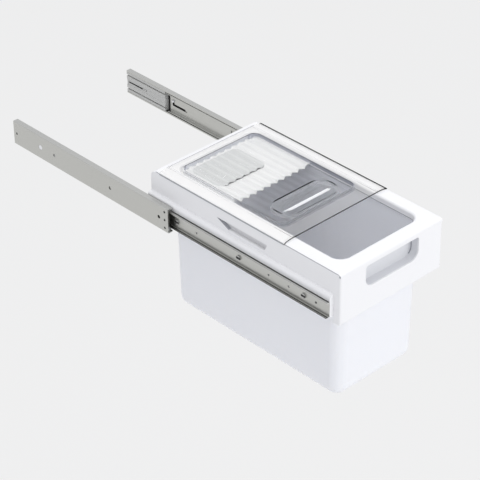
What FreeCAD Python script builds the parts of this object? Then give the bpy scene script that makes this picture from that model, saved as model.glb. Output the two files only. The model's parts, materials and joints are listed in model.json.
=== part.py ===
import FreeCAD, Part
import os
import re
import Sketcher

# Pull-out grain drawer of a kitchen cabinet, drawn pulled out, in millimetres
# X runs to the right, Y towards the back of the cabinet, Z up
# X is 0 midway between the cabinet's side walls
# Y is 0 at the front ends of the cabinet members, Z is 0 at their bottom edges
# A white carrier frame hangs on two telescopic slides, and a bin with a framed sliding lid drops into it

doc = FreeCAD.newDocument("GrainDrawer")
sheet = doc.addObject("Spreadsheet::Sheet", "Sizes")

SIZES = (
    ("clear_half_width", 134.0, "half the clear width between the cabinet walls"),
    ("slide_length", 400.0, "length of a cabinet member"),
    ("past", 1.0, "cutting outlines reach this far past the solid"),
    ("slide_height", 45.0, "height of a cabinet member"),
    ("slide_thickness", 12.7, "room that one closed slide takes beside the drawer"),
    ("sheet_gauge", 1.2, "steel thickness of the slide members"),
    ("cabinet_depth", 10.0, "depth of the cabinet member's channel"),
    ("lip_height", 1.5, "height of the lips that keep the outer balls in"),
    ("ball_gap", 0.3, "clearance between a ball and each race"),
    ("outer_ball_radius", 1.3, "radius of the outer balls"),
    ("inner_ball_radius", 1.1, "radius of the inner balls"),
    ("web_gap", 1.2, "gap between the webs of cabinet and middle member"),
    ("flange_gap", 2.4, "gap from the middle web to the drawer member's flanges"),
    ("middle_set_back", 0.4, "middle member's flanges lie this far inside the lips"),
    ("cage_gauge", 0.6, "thickness of a ball cage"),
    ("cage_gap", 0.6, "gap from the middle web to the inner cage"),
    ("ball_in_cage", 0.15, "clearance of a ball in its cage pocket"),
    ("outer_ball_depth", 6.0, "outer balls' centres from the cabinet wall"),
    ("inner_ball_depth", 7.4, "inner balls' centres from the cabinet wall"),
    ("outer_strip_depth", 8.0, "outer cage's edge from the cabinet wall"),
    ("inner_strip_depth", 9.0, "inner cage's edge from the cabinet wall"),
    ("ball_pitch", 13.0, "spacing of the balls in a cage"),
    ("cage_end", 3.0, "cage end to its first ball"),
    ("outer_cage_inset", 38.0, "outer cage's rear end ahead of the middle member's"),
    ("outer_cage_length", 150.0, "length of the outer cage"),
    ("inner_cage_start", 2.0, "front end of the inner cage"),
    ("inner_cage_length", 98.0, "length of the inner cage"),
    ("middle_start", 2.0, "front end of the middle member"),
    ("housing_gap", 7.0, "gap between the middle member and the soft-close housing"),
    ("hole_front", 22.0, "front mounting hole from the member's front end"),
    ("hole_second", 144.0, "second mounting hole"),
    ("hole_rear", 110.0, "rear mounting hole from the member's rear end"),
    ("hole_radius", 3.0, "radius of the mounting holes"),
    ("access_inset", 73.0, "access hole from the cabinet member's rear end"),
    ("access_radius", 4.5, "radius of the access hole"),
    ("end_hole_inset", 8.0, "small hole from the rear end"),
    ("rivet_radius", 1.6, "radius of the small holes"),
    ("rivet_front", 8.0, "row of small holes near the front end"),
    ("rivet_spread", 15.0, "spacing of the small holes in that row"),
    ("fold_radius", 1.44, "outer radius of the cabinet member's folds"),
    ("window_start", 105.0, "front of the middle member's window"),
    ("window_length", 28.0, "length of the window"),
    ("window_height", 13.0, "height of the window"),
    ("latch_slot_length", 38.0, "length of the latch slot's long leg"),
    ("latch_slot_inset", 6.0, "latch slot's rear end from the middle member's rear end"),
    ("latch_slot_low", 17.0, "bottom of the latch slot"),
    ("latch_slot_leg", 4.5, "width of the latch slot's long leg"),
    ("latch_slot_high", 29.0, "top of the latch slot's upright leg"),
    ("latch_slot_upright", 5.0, "width of the latch slot's upright leg"),
    ("buffer_play", 0.2, "buffer's clearance in the latch slot"),
    ("buffer_height", 3.5, "height of the buffer"),
    ("buffer_depth", 3.0, "buffer's reach from the middle web"),
    ("housing_length", 103.0, "length of the soft-close housing"),
    ("housing_play", 1.8, "housing's clearance inside the cabinet member's flanges"),
    ("groove_play", 0.8, "clearance of the drawer member in the housing's grooves"),
    ("head_play", 0.4, "clearance of the screw heads in the housing"),
    ("housing_wall", 4.0, "housing's end walls"),
    ("cavity_depth", 6.6, "depth of the housing's mechanism room"),
    ("cavity_half_height", 10.5, "half the height of the mechanism room"),
    ("catch_length", 9.0, "length of the catch"),
    ("catch_travel", 38.0, "travel of the soft-close catch"),
    ("catch_play", 0.5, "clearance round the catch"),
    ("finger_height", 2.0, "height of the catch's finger"),
    ("finger_gap", 0.5, "clearance between finger and drawer tab"),
    ("damper_height", 6.0, "damper's centre above the slide's middle line"),
    ("damper_radius", 3.0, "outer radius of the damper cylinder"),
    ("damper_bore", 2.3, "bore radius of the damper cylinder"),
    ("damper_length", 44.0, "length of the damper cylinder"),
    ("damper_cap", 1.5, "thickness of the damper's rear cap"),
    ("damper_end", 0.5, "thickness of the damper's front end and its gap to the housing"),
    ("piston_radius", 2.0, "radius of the piston"),
    ("piston_length", 1.5, "thickness of the piston"),
    ("piston_start", 2.0, "piston's front face from the housing's front wall"),
    ("rod_radius", 1.0, "radius of the piston rod"),
    ("rod_play", 0.3, "clearance of the rod in the damper's cap"),
    ("spring_drop", 5.5, "spring's centre below the slide's middle line"),
    ("spring_radius", 2.2, "coil radius of the closing spring"),
    ("spring_wire", 0.35, "wire radius of the closing spring"),
    ("spring_coils", 14.0, "number of coils"),
    ("spring_play", 0.1, "gap at the spring's ends"),
    ("drawer_travel", 352.0, "travel of the drawer"),
    ("member_short", 4.0, "drawer member ends this far before the cabinet member's end when closed"),
    ("member_nose", 2.0, "corner radius at the drawer member's front end"),
    ("tab_height", 4.0, "height of the drawer member's tab"),
    ("tab_length", 4.0, "length of the drawer member's tab"),
    ("tab_inset", 2.0, "tab's distance from the member's rear end"),
    ("screw_rear", 54.0, "rear screw from the drawer member's rear end"),
    ("screw_pitch", 144.0, "spacing of the ledge screws"),
    ("screw_head_radius", 4.6, "radius of the pan heads"),
    ("screw_head_height", 2.0, "height of the pan heads"),
    ("screw_radius", 2.0, "radius of the screw shanks"),
    ("screw_length", 7.2, "length of the screw shanks"),
    ("screw_play", 0.1, "clearance round the screw shanks"),
    ("recess_width", 0.9, "width of the driver recess"),
    ("recess_length", 4.4, "length of the driver recess"),
    ("recess_depth", 1.1, "depth of the driver recess"),
    ("member_hole_front", 87.0, "front small hole of the drawer member"),
    ("member_hole_middle", 131.0, "middle small hole of the drawer member"),
    ("member_hole_rear", 100.0, "rear small hole from the drawer member's rear end"),
    ("ledge_depth", 8.0, "ledges stand out this far from the carrier's sides"),
    ("frame_front", 14.0, "carrier's front face, ahead of the drawer members"),
    ("rear_beam", 14.0, "depth of the carrier's rear beam"),
    ("frame_drop", 0.7, "carrier's walls end this far below the drawer members"),
    ("frame_top", 86.0, "top edge of the carrier's walls"),
    ("frame_wall", 3.0, "wall thickness of the carrier"),
    ("chin_bottom", -5.0, "bottom of the front panel"),
    ("frame_corner", 3.0, "corner radius of the carrier's front edges"),
    ("rear_round", 12.0, "radius of the carrier's rear top edge"),
    ("beam_height", 14.0, "height of the carrier's rear beam"),
    ("deck_drop", 3.5, "shelf for the bin's flange, below the frame's top edge"),
    ("deck_thickness", 2.5, "thickness of that shelf"),
    ("seat_room", 6.0, "room behind the bin in its seat"),
    ("ledge_rise", 25.5, "top of the ledge above the slide's middle line"),
    ("ledge_round", 5.5, "radius of the ledge's top edge"),
    ("slot_drop", 19.5, "top of a finger slot below the frame's top edge"),
    ("slot_height", 12.0, "height of a finger slot"),
    ("slot_front", 144.0, "finger slot's upper front corner from the drawer member's front end"),
    ("slot_front_low", 150.0, "finger slot's lower front corner from there"),
    ("slot_rear", 257.0, "finger slot's upper rear corner from there"),
    ("slot_rear_low", 231.0, "finger slot's lower rear corner from there"),
    ("tray_depth", 5.0, "depth of the tray behind a finger slot"),
    ("tray_wall", 1.2, "wall thickness of that tray"),
    ("grip_left", 58.0, "left end of the handle opening"),
    ("grip_right", 60.0, "right end of the handle opening"),
    ("grip_height", 40.0, "height of the handle opening"),
    ("grip_drop", 2.0, "top of the handle opening below the shelf"),
    ("grip_round_top", 5.0, "upper corner radius of the handle opening"),
    ("grip_round_bottom", 16.0, "lower corner radius of the handle opening"),
    ("grip_wall", 1.6, "wall thickness of the handle pocket"),
    ("grip_step", 0.4, "handle pocket stands back this far from the opening"),
    ("grip_depth", 19.0, "handle pocket's rear face behind the panel's front"),
    ("bin_side_room", 19.3, "room beside the bin inside the carrier's outer faces"),
    ("bin_clear", 2.0, "clearance between handle pocket and bin"),
    ("bin_rear", 42.0, "bin's rear face"),
    ("bin_depth", 258.5, "depth of the bin below its flange"),
    ("bin_wall", 2.0, "wall thickness of the bin"),
    ("bin_corner", 26.0, "radius of the bin's upright corners"),
    ("bin_foot", 20.0, "radius of the bin's bottom edge"),
    ("bin_draft", 1.2, "draft angle of the bin in degrees"),
    ("bin_play", 1.5, "clearance between bin and shelf"),
    ("flange_thickness", 2.0, "thickness of the bin's flange"),
    ("flange_play", 2.3, "clearance of the bin's flange inside the carrier"),
    ("flange_end", 4.5, "width of the bin's flange at front and rear"),
    ("rim_rise", 3.5, "top of the lid frame above the carrier's top edge"),
    ("rim_over", 2.0, "lid frame's overlap onto the rear beam"),
    ("rim_step", 0.5, "clearance of the lid frame inside the carrier"),
    ("rim_depth", 12.0, "height of the lid frame's inner wall"),
    ("rim_wall", 1.6, "thickness of the lid frame's inner wall"),
    ("mouth_side", 6.0, "mouth's sides inside the bin's outer faces"),
    ("mouth_inset", 4.5, "mouth's front edge behind the bin's front face"),
    ("mouth_back", 12.0, "mouth's rear edge ahead of the bin's rear face"),
    ("mouth_corner", 20.0, "corner radius of the mouth"),
    ("mouth_round", 4.0, "radius of the mouth's top edge"),
    ("lip_drop", 4.0, "front lip's reach below the carrier's top edge"),
    ("lip_round", 5.5, "radius of the lid frame's front edge"),
    ("cover_length", 127.0, "length of the rear cover"),
    ("cover_thickness", 1.5, "thickness of the rear cover"),
    ("mat_left", 64.0, "left end of the mat on the rear cover"),
    ("mat_right", 39.0, "right end of the mat"),
    ("mat_back", 6.0, "mat's rear edge ahead of the mouth's"),
    ("mat_length", 77.0, "length of the mat"),
    ("mat_depth", 0.8, "thickness of the mat"),
    ("mat_corner", 14.0, "corner radius of the mat"),
    ("lid_rise", 2.8, "top of the lid above the lid frame"),
    ("lid_thickness", 2.0, "thickness of the lid"),
    ("lid_length", 287.0, "length of the lid"),
    ("lid_back", 10.0, "lid's rear edge ahead of the lid frame's"),
    ("lid_corner", 2.0, "corner radius of the lid"),
    ("skirt_play", 0.5, "clearance of the lid's skirts beside the lid frame"),
    ("skirt_thickness", 1.5, "thickness of the lid's skirts"),
    ("skirt_gap", 0.3, "gap under the lid's skirts"),
    ("runner_side", 4.0, "lid's runners from the edge of the mouth"),
    ("runner_width", 3.0, "width of the lid's runners"),
    ("pan_side", 3.0, "pan's sides inside the mouth"),
    ("pan_length", 239.0, "length of the pan"),
    ("pan_back", 4.0, "clearance behind the pan in the mouth"),
    ("pan_corner", 16.0, "corner radius of the pan"),
    ("pan_play", 0.8, "clearance between pan and rear cover"),
    ("rib_margin", 6.0, "flat margin beside the ribs"),
    ("rib_steep", 2.6, "width of a rib's steep side"),
    ("rib_rise", 4.5, "height of the ribs"),
    ("pull_inset_front", 36.0, "grip's centre behind the pan's front wall"),
    ("pull_inset", 21.0, "grip's ends from the pan's sides"),
    ("pull_half_width", 28.0, "half the width of the lid's grip"),
    ("pull_corner", 26.0, "corner radius of the lid's grip"),
    ("pull_height", 5.0, "height of the lid's grip"),
    ("finger_inset", 15.0, "finger well's ends from the grip's ends"),
    ("well_front", 13.0, "finger well's front edge from the grip's centre"),
    ("finger_depth", 4.0, "depth of the finger well"),
    ("finger_corner", 9.0, "corner radius of the finger well"),
    ("well_rear", 7.0, "finger well's rear edge from the grip's centre"),
)

for row, (alias, size, meaning) in enumerate(SIZES, 1):
    sheet.set(f"A{row}", meaning)
    sheet.set(f"B{row}", str(size))
    sheet.setAlias(f"B{row}", alias)
doc.recompute()

# Derived places, written as formulas over the sheet
# Depths into a slide run from the cabinet wall towards the middle of the drawer
CABINET_WEB = "(clear_half_width - sheet_gauge)"
CABINET_LIPS = "(clear_half_width - cabinet_depth)"
MIDDLE_OUT = f"({CABINET_WEB} - web_gap)"
MIDDLE_IN = f"({MIDDLE_OUT} - sheet_gauge)"
MIDDLE_TIPS = f"({CABINET_LIPS} + middle_set_back)"
MEMBER_FACE = "(clear_half_width - slide_thickness)"
MEMBER_WEB = f"({MEMBER_FACE} + sheet_gauge)"
MEMBER_TIPS = f"({MIDDLE_IN} - flange_gap)"
OUTER_RACE = "(sheet_gauge + ball_gap + outer_ball_radius)"
MIDDLE_LOW = f"({OUTER_RACE} + outer_ball_radius + ball_gap)"
INNER_RACE = f"({MIDDLE_LOW} + sheet_gauge + ball_gap + inner_ball_radius)"
MEMBER_LOW = f"({INNER_RACE} + inner_ball_radius + ball_gap)"
MIDDLE_LINE = "(slide_height / 2)"
HOUSING_START = "(slide_length - housing_length)"
MIDDLE_END = f"({HOUSING_START} - housing_gap)"
OUTER_CAGE_START = f"({MIDDLE_END} - outer_cage_inset - outer_cage_length)"
SLOT_REAR = f"({MIDDLE_END} - latch_slot_inset)"
SLOT_UPRIGHT = f"({SLOT_REAR} - latch_slot_upright)"
MEMBER_FRONT = "(-1 * drawer_travel)"
MEMBER_LENGTH = "(slide_length - member_short)"
MEMBER_REAR = f"({MEMBER_FRONT} + {MEMBER_LENGTH})"
HEAD_TOP = f"({MEMBER_WEB} + screw_head_height)"
HEAD_GROOVE = f"({HEAD_TOP} + head_play)"
TAB_TIP = f"({HEAD_GROOVE} - head_play * 0.75)"
CAVITY_FLOOR = f"({CABINET_WEB} - cavity_depth)"
CAVITY_FRONT = f"({HOUSING_START} + housing_wall)"
CAVITY_REAR = "(slide_length - housing_wall * 0.75)"
CATCH_START = f"({CAVITY_REAR} - catch_play * 2 - catch_travel - catch_length)"
MECHANISM = f"(({CABINET_WEB} + {CAVITY_FLOOR}) / 2)"
FRAME_HALF = f"({MEMBER_FACE} - ledge_depth)"
FRAME_INSIDE = f"({FRAME_HALF} - frame_wall)"
FRAME_FRONT = f"({MEMBER_FRONT} - frame_front)"
FRAME_BOTTOM = f"({MEMBER_LOW} - frame_drop)"
SEAT_REAR = "(bin_rear + seat_room)"
FRAME_REAR = f"({SEAT_REAR} + rear_beam)"
DECK_TOP = "(frame_top - deck_drop)"
DECK_LOW = f"({DECK_TOP} - deck_thickness)"
LEDGE_TOP = f"({MIDDLE_LINE} + ledge_rise)"
SLOT_TOP = "(frame_top - slot_drop)"
GRIP_TOP = f"({DECK_LOW} - grip_drop)"
GRIP_BOTTOM = f"({GRIP_TOP} - grip_height)"
BIN_HALF = f"({FRAME_HALF} - bin_side_room)"
BIN_FRONT = f"({FRAME_FRONT} + grip_depth + bin_clear)"
BIN_BOTTOM = f"({DECK_TOP} - bin_depth)"
RIM_TOP = "(frame_top + rim_rise)"
RIM_UNDER = f"({DECK_TOP} + flange_thickness)"
RIM_REAR = f"({SEAT_REAR} + rim_over)"
RIM_LOW = f"({RIM_TOP} - rim_depth)"
MOUTH_HALF = f"({BIN_HALF} - mouth_side)"
MOUTH_FRONT = f"({BIN_FRONT} + mouth_inset)"
MOUTH_REAR = "(bin_rear - mouth_back)"
LIP_LOW = "(frame_top - lip_drop)"
COVER_FRONT = f"({MOUTH_REAR} - cover_length)"
MAT_REAR = f"({MOUTH_REAR} - mat_back)"
MAT_FRONT = f"({MAT_REAR} - mat_length)"
PAN_LOW = f"({RIM_LOW} + cover_thickness + pan_play)"
LID_TOP = f"({RIM_TOP} + lid_rise)"
LID_UNDER = f"({LID_TOP} - lid_thickness)"
LID_REAR = f"({RIM_REAR} - lid_back)"
LID_FRONT = f"({LID_REAR} - lid_length)"
SKIRT_NEAR = f"({FRAME_HALF} + skirt_play)"
LID_HALF_WIDTH = f"({SKIRT_NEAR} + skirt_thickness)"
SKIRT_LOW = "(frame_top + skirt_gap)"
RUNNER_NEAR = f"({MOUTH_HALF} + runner_side)"
PAN_HALF = f"({MOUTH_HALF} - pan_side)"
PAN_MIDDLE = f"({PAN_HALF} - lid_thickness / 2)"
PAN_REAR = f"({MOUTH_REAR} - pan_back)"
PAN_FRONT = f"({PAN_REAR} - pan_length)"
PULL_LOW = f"({PAN_LOW} + lid_thickness + rib_rise)"
PULL_CENTRE = f"({PAN_FRONT} + pull_inset_front)"
PULL_HALF = f"({PAN_HALF} - pull_inset)"
WELL_HALF = f"({PULL_HALF} - finger_inset)"
SCREW_COUNT = 3
RIB_COUNT = 10
RIB_PITCH = f"(({PAN_MIDDLE} - rib_margin) * 2 / {RIB_COUNT})"


# Formulas


def value(formula):
    return float(sheet.evalExpression(formula))


def bind(target, path, formula):
    target.setExpression(path, re.sub(r"[a-z][a-z_]+", lambda word: "Sizes." + word.group(0), formula))


def mirrored(side, formula):
    return f"{side} * ({formula})"


def across(side, near, far):
    if side > 0:
        return near, far
    return f"-1 * ({far})", f"-1 * ({near})"


def from_top(formula):
    return f"(slide_height - {formula})"


# Sketches


def new_body(name):
    body = doc.addObject("PartDesign::Body", name)
    body.Label = name
    return body


def new_sketch(body, role, offset):
    sketch = body.newObject("Sketcher::SketchObject", body.Name + "_sketch")
    plane = next(item for item in body.Origin.OriginFeatures if item.Role == role)
    sketch.AttachmentSupport = [(plane, "")]
    sketch.MapMode = "FlatFace"
    bind(sketch, ".AttachmentOffset.Base.z", offset)
    return sketch


def place(sketch, kind, geometry, point, formula):
    index = sketch.addConstraint(Sketcher.Constraint(kind, -1, 1, geometry, point, value(formula)))
    bind(sketch, f"Constraints[{index}]", formula)


def polygon(sketch, points):
    first = sketch.GeometryCount
    spots = [FreeCAD.Vector(value(across_text), value(up_text), 0) for across_text, up_text in points]
    for index, spot in enumerate(spots):
        sketch.addGeometry(Part.LineSegment(spot, spots[(index + 1) % len(spots)]))
    for index, (across_text, up_text) in enumerate(points):
        following = first + (index + 1) % len(points)
        sketch.addConstraint(Sketcher.Constraint("Coincident", first + index, 2, following, 1))
        place(sketch, "DistanceX", first + index, 1, across_text)
        place(sketch, "DistanceY", first + index, 1, up_text)


def rectangle(sketch, left, right, low, high):
    polygon(sketch, [(left, low), (right, low), (right, high), (left, high)])


def rounded_rectangle(sketch, left, right, low, high, low_radius, high_radius):
    first = sketch.GeometryCount
    x0, x1, y0, y1 = value(left), value(right), value(low), value(high)
    r0, r1 = value(low_radius), value(high_radius)
    runs = (
        ((x0 + r0, y0), (x1 - r0, y0)),
        ((x1, y0 + r0), (x1, y1 - r1)),
        ((x1 - r1, y1), (x0 + r1, y1)),
        ((x0, y1 - r1), (x0, y0 + r0)),
    )
    corners = ((x1 - r0, y0 + r0, r0, -90), (x1 - r1, y1 - r1, r1, 0), (x0 + r1, y1 - r1, r1, 90),
               (x0 + r0, y0 + r0, r0, 180))
    up = FreeCAD.Vector(0, 0, 1)
    for (start, end), (cx, cy, radius, angle) in zip(runs, corners):
        sketch.addGeometry(Part.LineSegment(FreeCAD.Vector(*start, 0), FreeCAD.Vector(*end, 0)))
        circle = Part.Circle(FreeCAD.Vector(cx, cy, 0), up, radius)
        turn = FreeCAD.Units.Quantity(f"{angle} deg").getValueAs("rad").Value
        quarter = FreeCAD.Units.Quantity("90 deg").getValueAs("rad").Value
        sketch.addGeometry(Part.ArcOfCircle(circle, turn, turn + quarter))
    for index in range(4):
        line, arc = first + 2 * index, first + 2 * index + 1
        following = first + 2 * ((index + 1) % 4)
        sketch.addConstraint(Sketcher.Constraint("Tangent", line, 2, arc, 1))
        sketch.addConstraint(Sketcher.Constraint("Tangent", arc, 2, following, 1))
        radius = sketch.addConstraint(Sketcher.Constraint("Radius", arc, (r0, r1, r1, r0)[index]))
        bind(sketch, f"Constraints[{radius}]", (low_radius, high_radius, high_radius, low_radius)[index])
    for line, kind in ((0, "Horizontal"), (2, "Vertical"), (4, "Horizontal"), (6, "Vertical")):
        sketch.addConstraint(Sketcher.Constraint(kind, first + line))
    place(sketch, "DistanceY", first, 1, low)
    place(sketch, "DistanceX", first + 2, 1, right)
    place(sketch, "DistanceY", first + 4, 1, high)
    place(sketch, "DistanceX", first + 6, 1, left)


def circle(sketch, across_text, up_text, radius):
    spot = FreeCAD.Vector(value(across_text), value(up_text), 0)
    index = sketch.addGeometry(Part.Circle(spot, FreeCAD.Vector(0, 0, 1), value(radius)))
    place(sketch, "DistanceX", index, 3, across_text)
    place(sketch, "DistanceY", index, 3, up_text)
    bound = sketch.addConstraint(Sketcher.Constraint("Radius", index, value(radius)))
    bind(sketch, f"Constraints[{bound}]", radius)


# Features of a body


def volume(body):
    doc.recompute()
    return body.Shape.Volume if body.Tip else 0.0


def add(body, sketch, length, backwards=False):
    before = volume(body)
    pad = body.newObject("PartDesign::Pad", body.Name + "_pad")
    pad.Profile = sketch
    pad.Reversed = backwards
    bind(pad, "Length", length)
    if volume(body) <= before:
        raise RuntimeError(f"{body.Label}: {pad.Name} adds nothing")
    return pad


def take(body, sketch, length, backwards=False):
    before = volume(body)
    pocket = body.newObject("PartDesign::Pocket", body.Name + "_pocket")
    pocket.Profile = sketch
    pocket.Reversed = backwards
    bind(pocket, "Length", length)
    if volume(body) >= before:
        raise RuntimeError(f"{body.Label}: {pocket.Name} cuts nothing")
    return pocket


def lies(edge, x=None, y=None, z=None):
    box = edge.BoundBox
    for wanted, low, high in ((x, box.XMin, box.XMax), (y, box.YMin, box.YMax), (z, box.ZMin, box.ZMax)):
        if wanted is not None and max(abs(low - wanted), abs(high - wanted)) > 0.02:
            return False
    return True


def soften(body, radius, spots):
    doc.recompute()
    base = body.Tip
    names = [f"Edge{number}" for number, edge in enumerate(base.Shape.Edges, 1)
             if any(lies(edge, **spot) for spot in spots)]
    if not names:
        raise RuntimeError(f"{body.Label}: no edge to round")
    fillet = body.newObject("PartDesign::Fillet", body.Name + "_fillet")
    fillet.Base = (base, names)
    bind(fillet, "Radius", radius)
    doc.recompute()
    return fillet


# Simple solids


def box(name, x, y, z):
    solid = doc.addObject("Part::Box", name)
    for axis, length, (low, high) in (("x", "Length", x), ("y", "Width", y), ("z", "Height", z)):
        bind(solid, f".Placement.Base.{axis}", low)
        bind(solid, length, f"({high}) - ({low})")
    return solid


def cylinder(name, axis, start, length, radius):
    solid = doc.addObject("Part::Cylinder", name)
    turn = {"x": FreeCAD.Rotation(FreeCAD.Vector(0, 1, 0), 90),
            "y": FreeCAD.Rotation(FreeCAD.Vector(1, 0, 0), -90)}
    solid.Placement = FreeCAD.Placement(FreeCAD.Vector(0, 0, 0), turn[axis])
    for letter, formula in zip("xyz", start):
        bind(solid, f".Placement.Base.{letter}", formula)
    bind(solid, "Height", length)
    bind(solid, "Radius", radius)
    return solid


def cut(name, base, tool):
    result = doc.addObject("Part::Cut", name)
    result.Base = base
    result.Tool = tool
    return result


def group(kind, name, members):
    result = doc.addObject(kind, name)
    setattr(result, "Links" if kind == "Part::Compound" else "Shapes", members)
    return result


# Slide members


def channel(body, side, web, web_in, tips, low, gauge, start, length):
    # A plain channel: the web on one side, two flanges reaching to the tips
    sketch = new_sketch(body, "XZ_Plane", f"-1 * ({start})")
    high = from_top(low)
    outline = [(web, low), (tips, low), (tips, f"{low} + {gauge}"), (web_in, f"{low} + {gauge}"),
               (web_in, f"{high} - {gauge}"), (tips, f"{high} - {gauge}"), (tips, high), (web, high)]
    polygon(sketch, [(mirrored(side, across_text), up_text) for across_text, up_text in outline])
    add(body, sketch, length, backwards=True)


def web_holes(body, side, face, depth, spots):
    # Round holes through a web, drilled from the face named
    sketch = new_sketch(body, "YZ_Plane", mirrored(side, face))
    for along, up, radius in spots:
        circle(sketch, along, up, radius)
    take(body, sketch, depth, backwards=side < 0)


def cabinet_member(name, side):
    # Channel screwed to the cabinet wall, with lips that keep the outer balls in
    body = new_body(name)
    sketch = new_sketch(body, "XZ_Plane", "0")
    lip = f"({CABINET_LIPS} + sheet_gauge)"
    half = [("clear_half_width", "0"), (CABINET_LIPS, "0"), (CABINET_LIPS, "sheet_gauge + lip_height"),
            (lip, "sheet_gauge + lip_height"), (lip, "sheet_gauge"), (CABINET_WEB, "sheet_gauge")]
    other = [(across_text, f"slide_height - ({up_text})") for across_text, up_text in reversed(half)]
    polygon(sketch, [(mirrored(side, across_text), up_text) for across_text, up_text in half + other])
    add(body, sketch, "slide_length", backwards=True)
    web_holes(body, side, "clear_half_width", "sheet_gauge * 2", [
        ("hole_front", MIDDLE_LINE, "hole_radius"),
        ("hole_second", MIDDLE_LINE, "hole_radius"),
        ("slide_length - hole_rear", MIDDLE_LINE, "hole_radius"),
        ("slide_length - access_inset", MIDDLE_LINE, "access_radius"),
        ("slide_length - end_hole_inset", MIDDLE_LINE, "rivet_radius"),
        ("rivet_front", f"{MIDDLE_LINE} + rivet_spread", "rivet_radius"),
        ("rivet_front", MIDDLE_LINE, "rivet_radius"),
        ("rivet_front", f"{MIDDLE_LINE} - rivet_spread", "rivet_radius"),
    ])
    edge = value(mirrored(side, "clear_half_width"))
    soften(body, "fold_radius", [{"x": edge, "z": 0.0}, {"x": edge, "z": value("slide_height")}])
    return body


def middle_member(name, side):
    # Intermediate channel with races on both faces of its flanges
    body = new_body(name)
    channel(body, side, MIDDLE_OUT, MIDDLE_IN, MIDDLE_TIPS, MIDDLE_LOW, "sheet_gauge", "middle_start",
            f"{MIDDLE_END} - middle_start")
    sketch = new_sketch(body, "YZ_Plane", mirrored(side, MIDDLE_OUT))
    rectangle(sketch, "window_start", "window_start + window_length", f"{MIDDLE_LINE} - window_height / 2",
              f"{MIDDLE_LINE} + window_height / 2")
    top_of_leg = "(latch_slot_low + latch_slot_leg)"
    front_of_leg = f"({SLOT_REAR} - latch_slot_length)"
    polygon(sketch, [(front_of_leg, "latch_slot_low"), (SLOT_REAR, "latch_slot_low"),
                     (SLOT_REAR, "latch_slot_high"), (SLOT_UPRIGHT, "latch_slot_high"),
                     (SLOT_UPRIGHT, top_of_leg), (front_of_leg, top_of_leg)])
    take(body, sketch, "sheet_gauge * 2", backwards=side < 0)
    return body


def middle_buffer(name, side):
    # Plastic stop clipped into the upright leg of the latch slot
    low, high = across(side, f"{MIDDLE_IN} - buffer_depth", MIDDLE_OUT)
    return box(name, (low, high), (f"{SLOT_UPRIGHT} + buffer_play", f"{SLOT_REAR} - buffer_play"),
               ("latch_slot_high - buffer_play - buffer_height", "latch_slot_high - buffer_play"))


def ball_spots(start, length):
    # Evenly spaced places along a cage, as many as fit
    last = int(value(f"({length} - cage_end * 2) / ball_pitch"))
    return [f"{start} + cage_end + ball_pitch * {number}" for number in range(last + 1)]


def ball_rows(name, side, depth, race, start, length, radius):
    # Two straight rows of balls, in the lower and the upper race
    balls = []
    for up in (race, from_top(race)):
        for spot in ball_spots(start, length):
            ball = doc.addObject("Part::Sphere", name + "_ball")
            bind(ball, "Radius", radius)
            bind(ball, ".Placement.Base.x", mirrored(side, f"clear_half_width - {depth}"))
            bind(ball, ".Placement.Base.y", spot)
            bind(ball, ".Placement.Base.z", up)
            balls.append(ball)
    return group("Part::Compound", name, balls)


def ball_cage(name, side, web, depth, strip, race, start, length, radius):
    # Sheet channel whose two strips lie in the middle of the races, with a pocket for each ball
    body = new_body(name)
    low = f"({race} - cage_gauge / 2)"
    channel(body, side, web, f"({web} - cage_gauge)", f"(clear_half_width - {strip})", low, "cage_gauge",
            start, length)
    sketch = new_sketch(body, "XY_Plane", "slide_height")
    for spot in ball_spots(start, length):
        circle(sketch, mirrored(side, f"clear_half_width - {depth}"), spot, f"{radius} + ball_in_cage")
    take(body, sketch, "slide_height")
    return body


def screw_places():
    # Spots of the ledge screws along the slide
    return [f"{MEMBER_REAR} - screw_rear - screw_pitch * {number}" for number in range(SCREW_COUNT)]


def member_holes():
    # Holes shared by the drawer member and its ledge: the screws' and three for pins
    pins = (f"{MEMBER_FRONT} + member_hole_front", f"{MEMBER_FRONT} + member_hole_middle",
            f"{MEMBER_REAR} - member_hole_rear")
    return ([(along, MIDDLE_LINE, "screw_radius + screw_play") for along in screw_places()]
            + [(along, MIDDLE_LINE, "rivet_radius") for along in pins])


def drawer_member(name, side):
    # Channel screwed to the carrier's ledge, with the tab that meets the soft-close catch
    body = new_body(name)
    channel(body, side, MEMBER_FACE, MEMBER_WEB, MEMBER_TIPS, MEMBER_LOW, "sheet_gauge", MEMBER_FRONT,
            MEMBER_LENGTH)
    tab = new_sketch(body, "YZ_Plane", mirrored(side, MEMBER_WEB))
    rear = f"({MEMBER_REAR} - tab_inset)"
    rectangle(tab, f"{rear} - tab_length", rear, f"{MIDDLE_LINE} - tab_height / 2",
              f"{MIDDLE_LINE} + tab_height / 2")
    add(body, tab, f"{TAB_TIP} - {MEMBER_WEB}", backwards=side < 0)
    web_holes(body, side, MEMBER_WEB, "sheet_gauge * 2", member_holes())
    nose = [{"y": value(MEMBER_FRONT), "z": value(MEMBER_LOW)},
            {"y": value(MEMBER_FRONT), "z": value(from_top(MEMBER_LOW))}]
    soften(body, "member_nose", nose)
    return body


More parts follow.
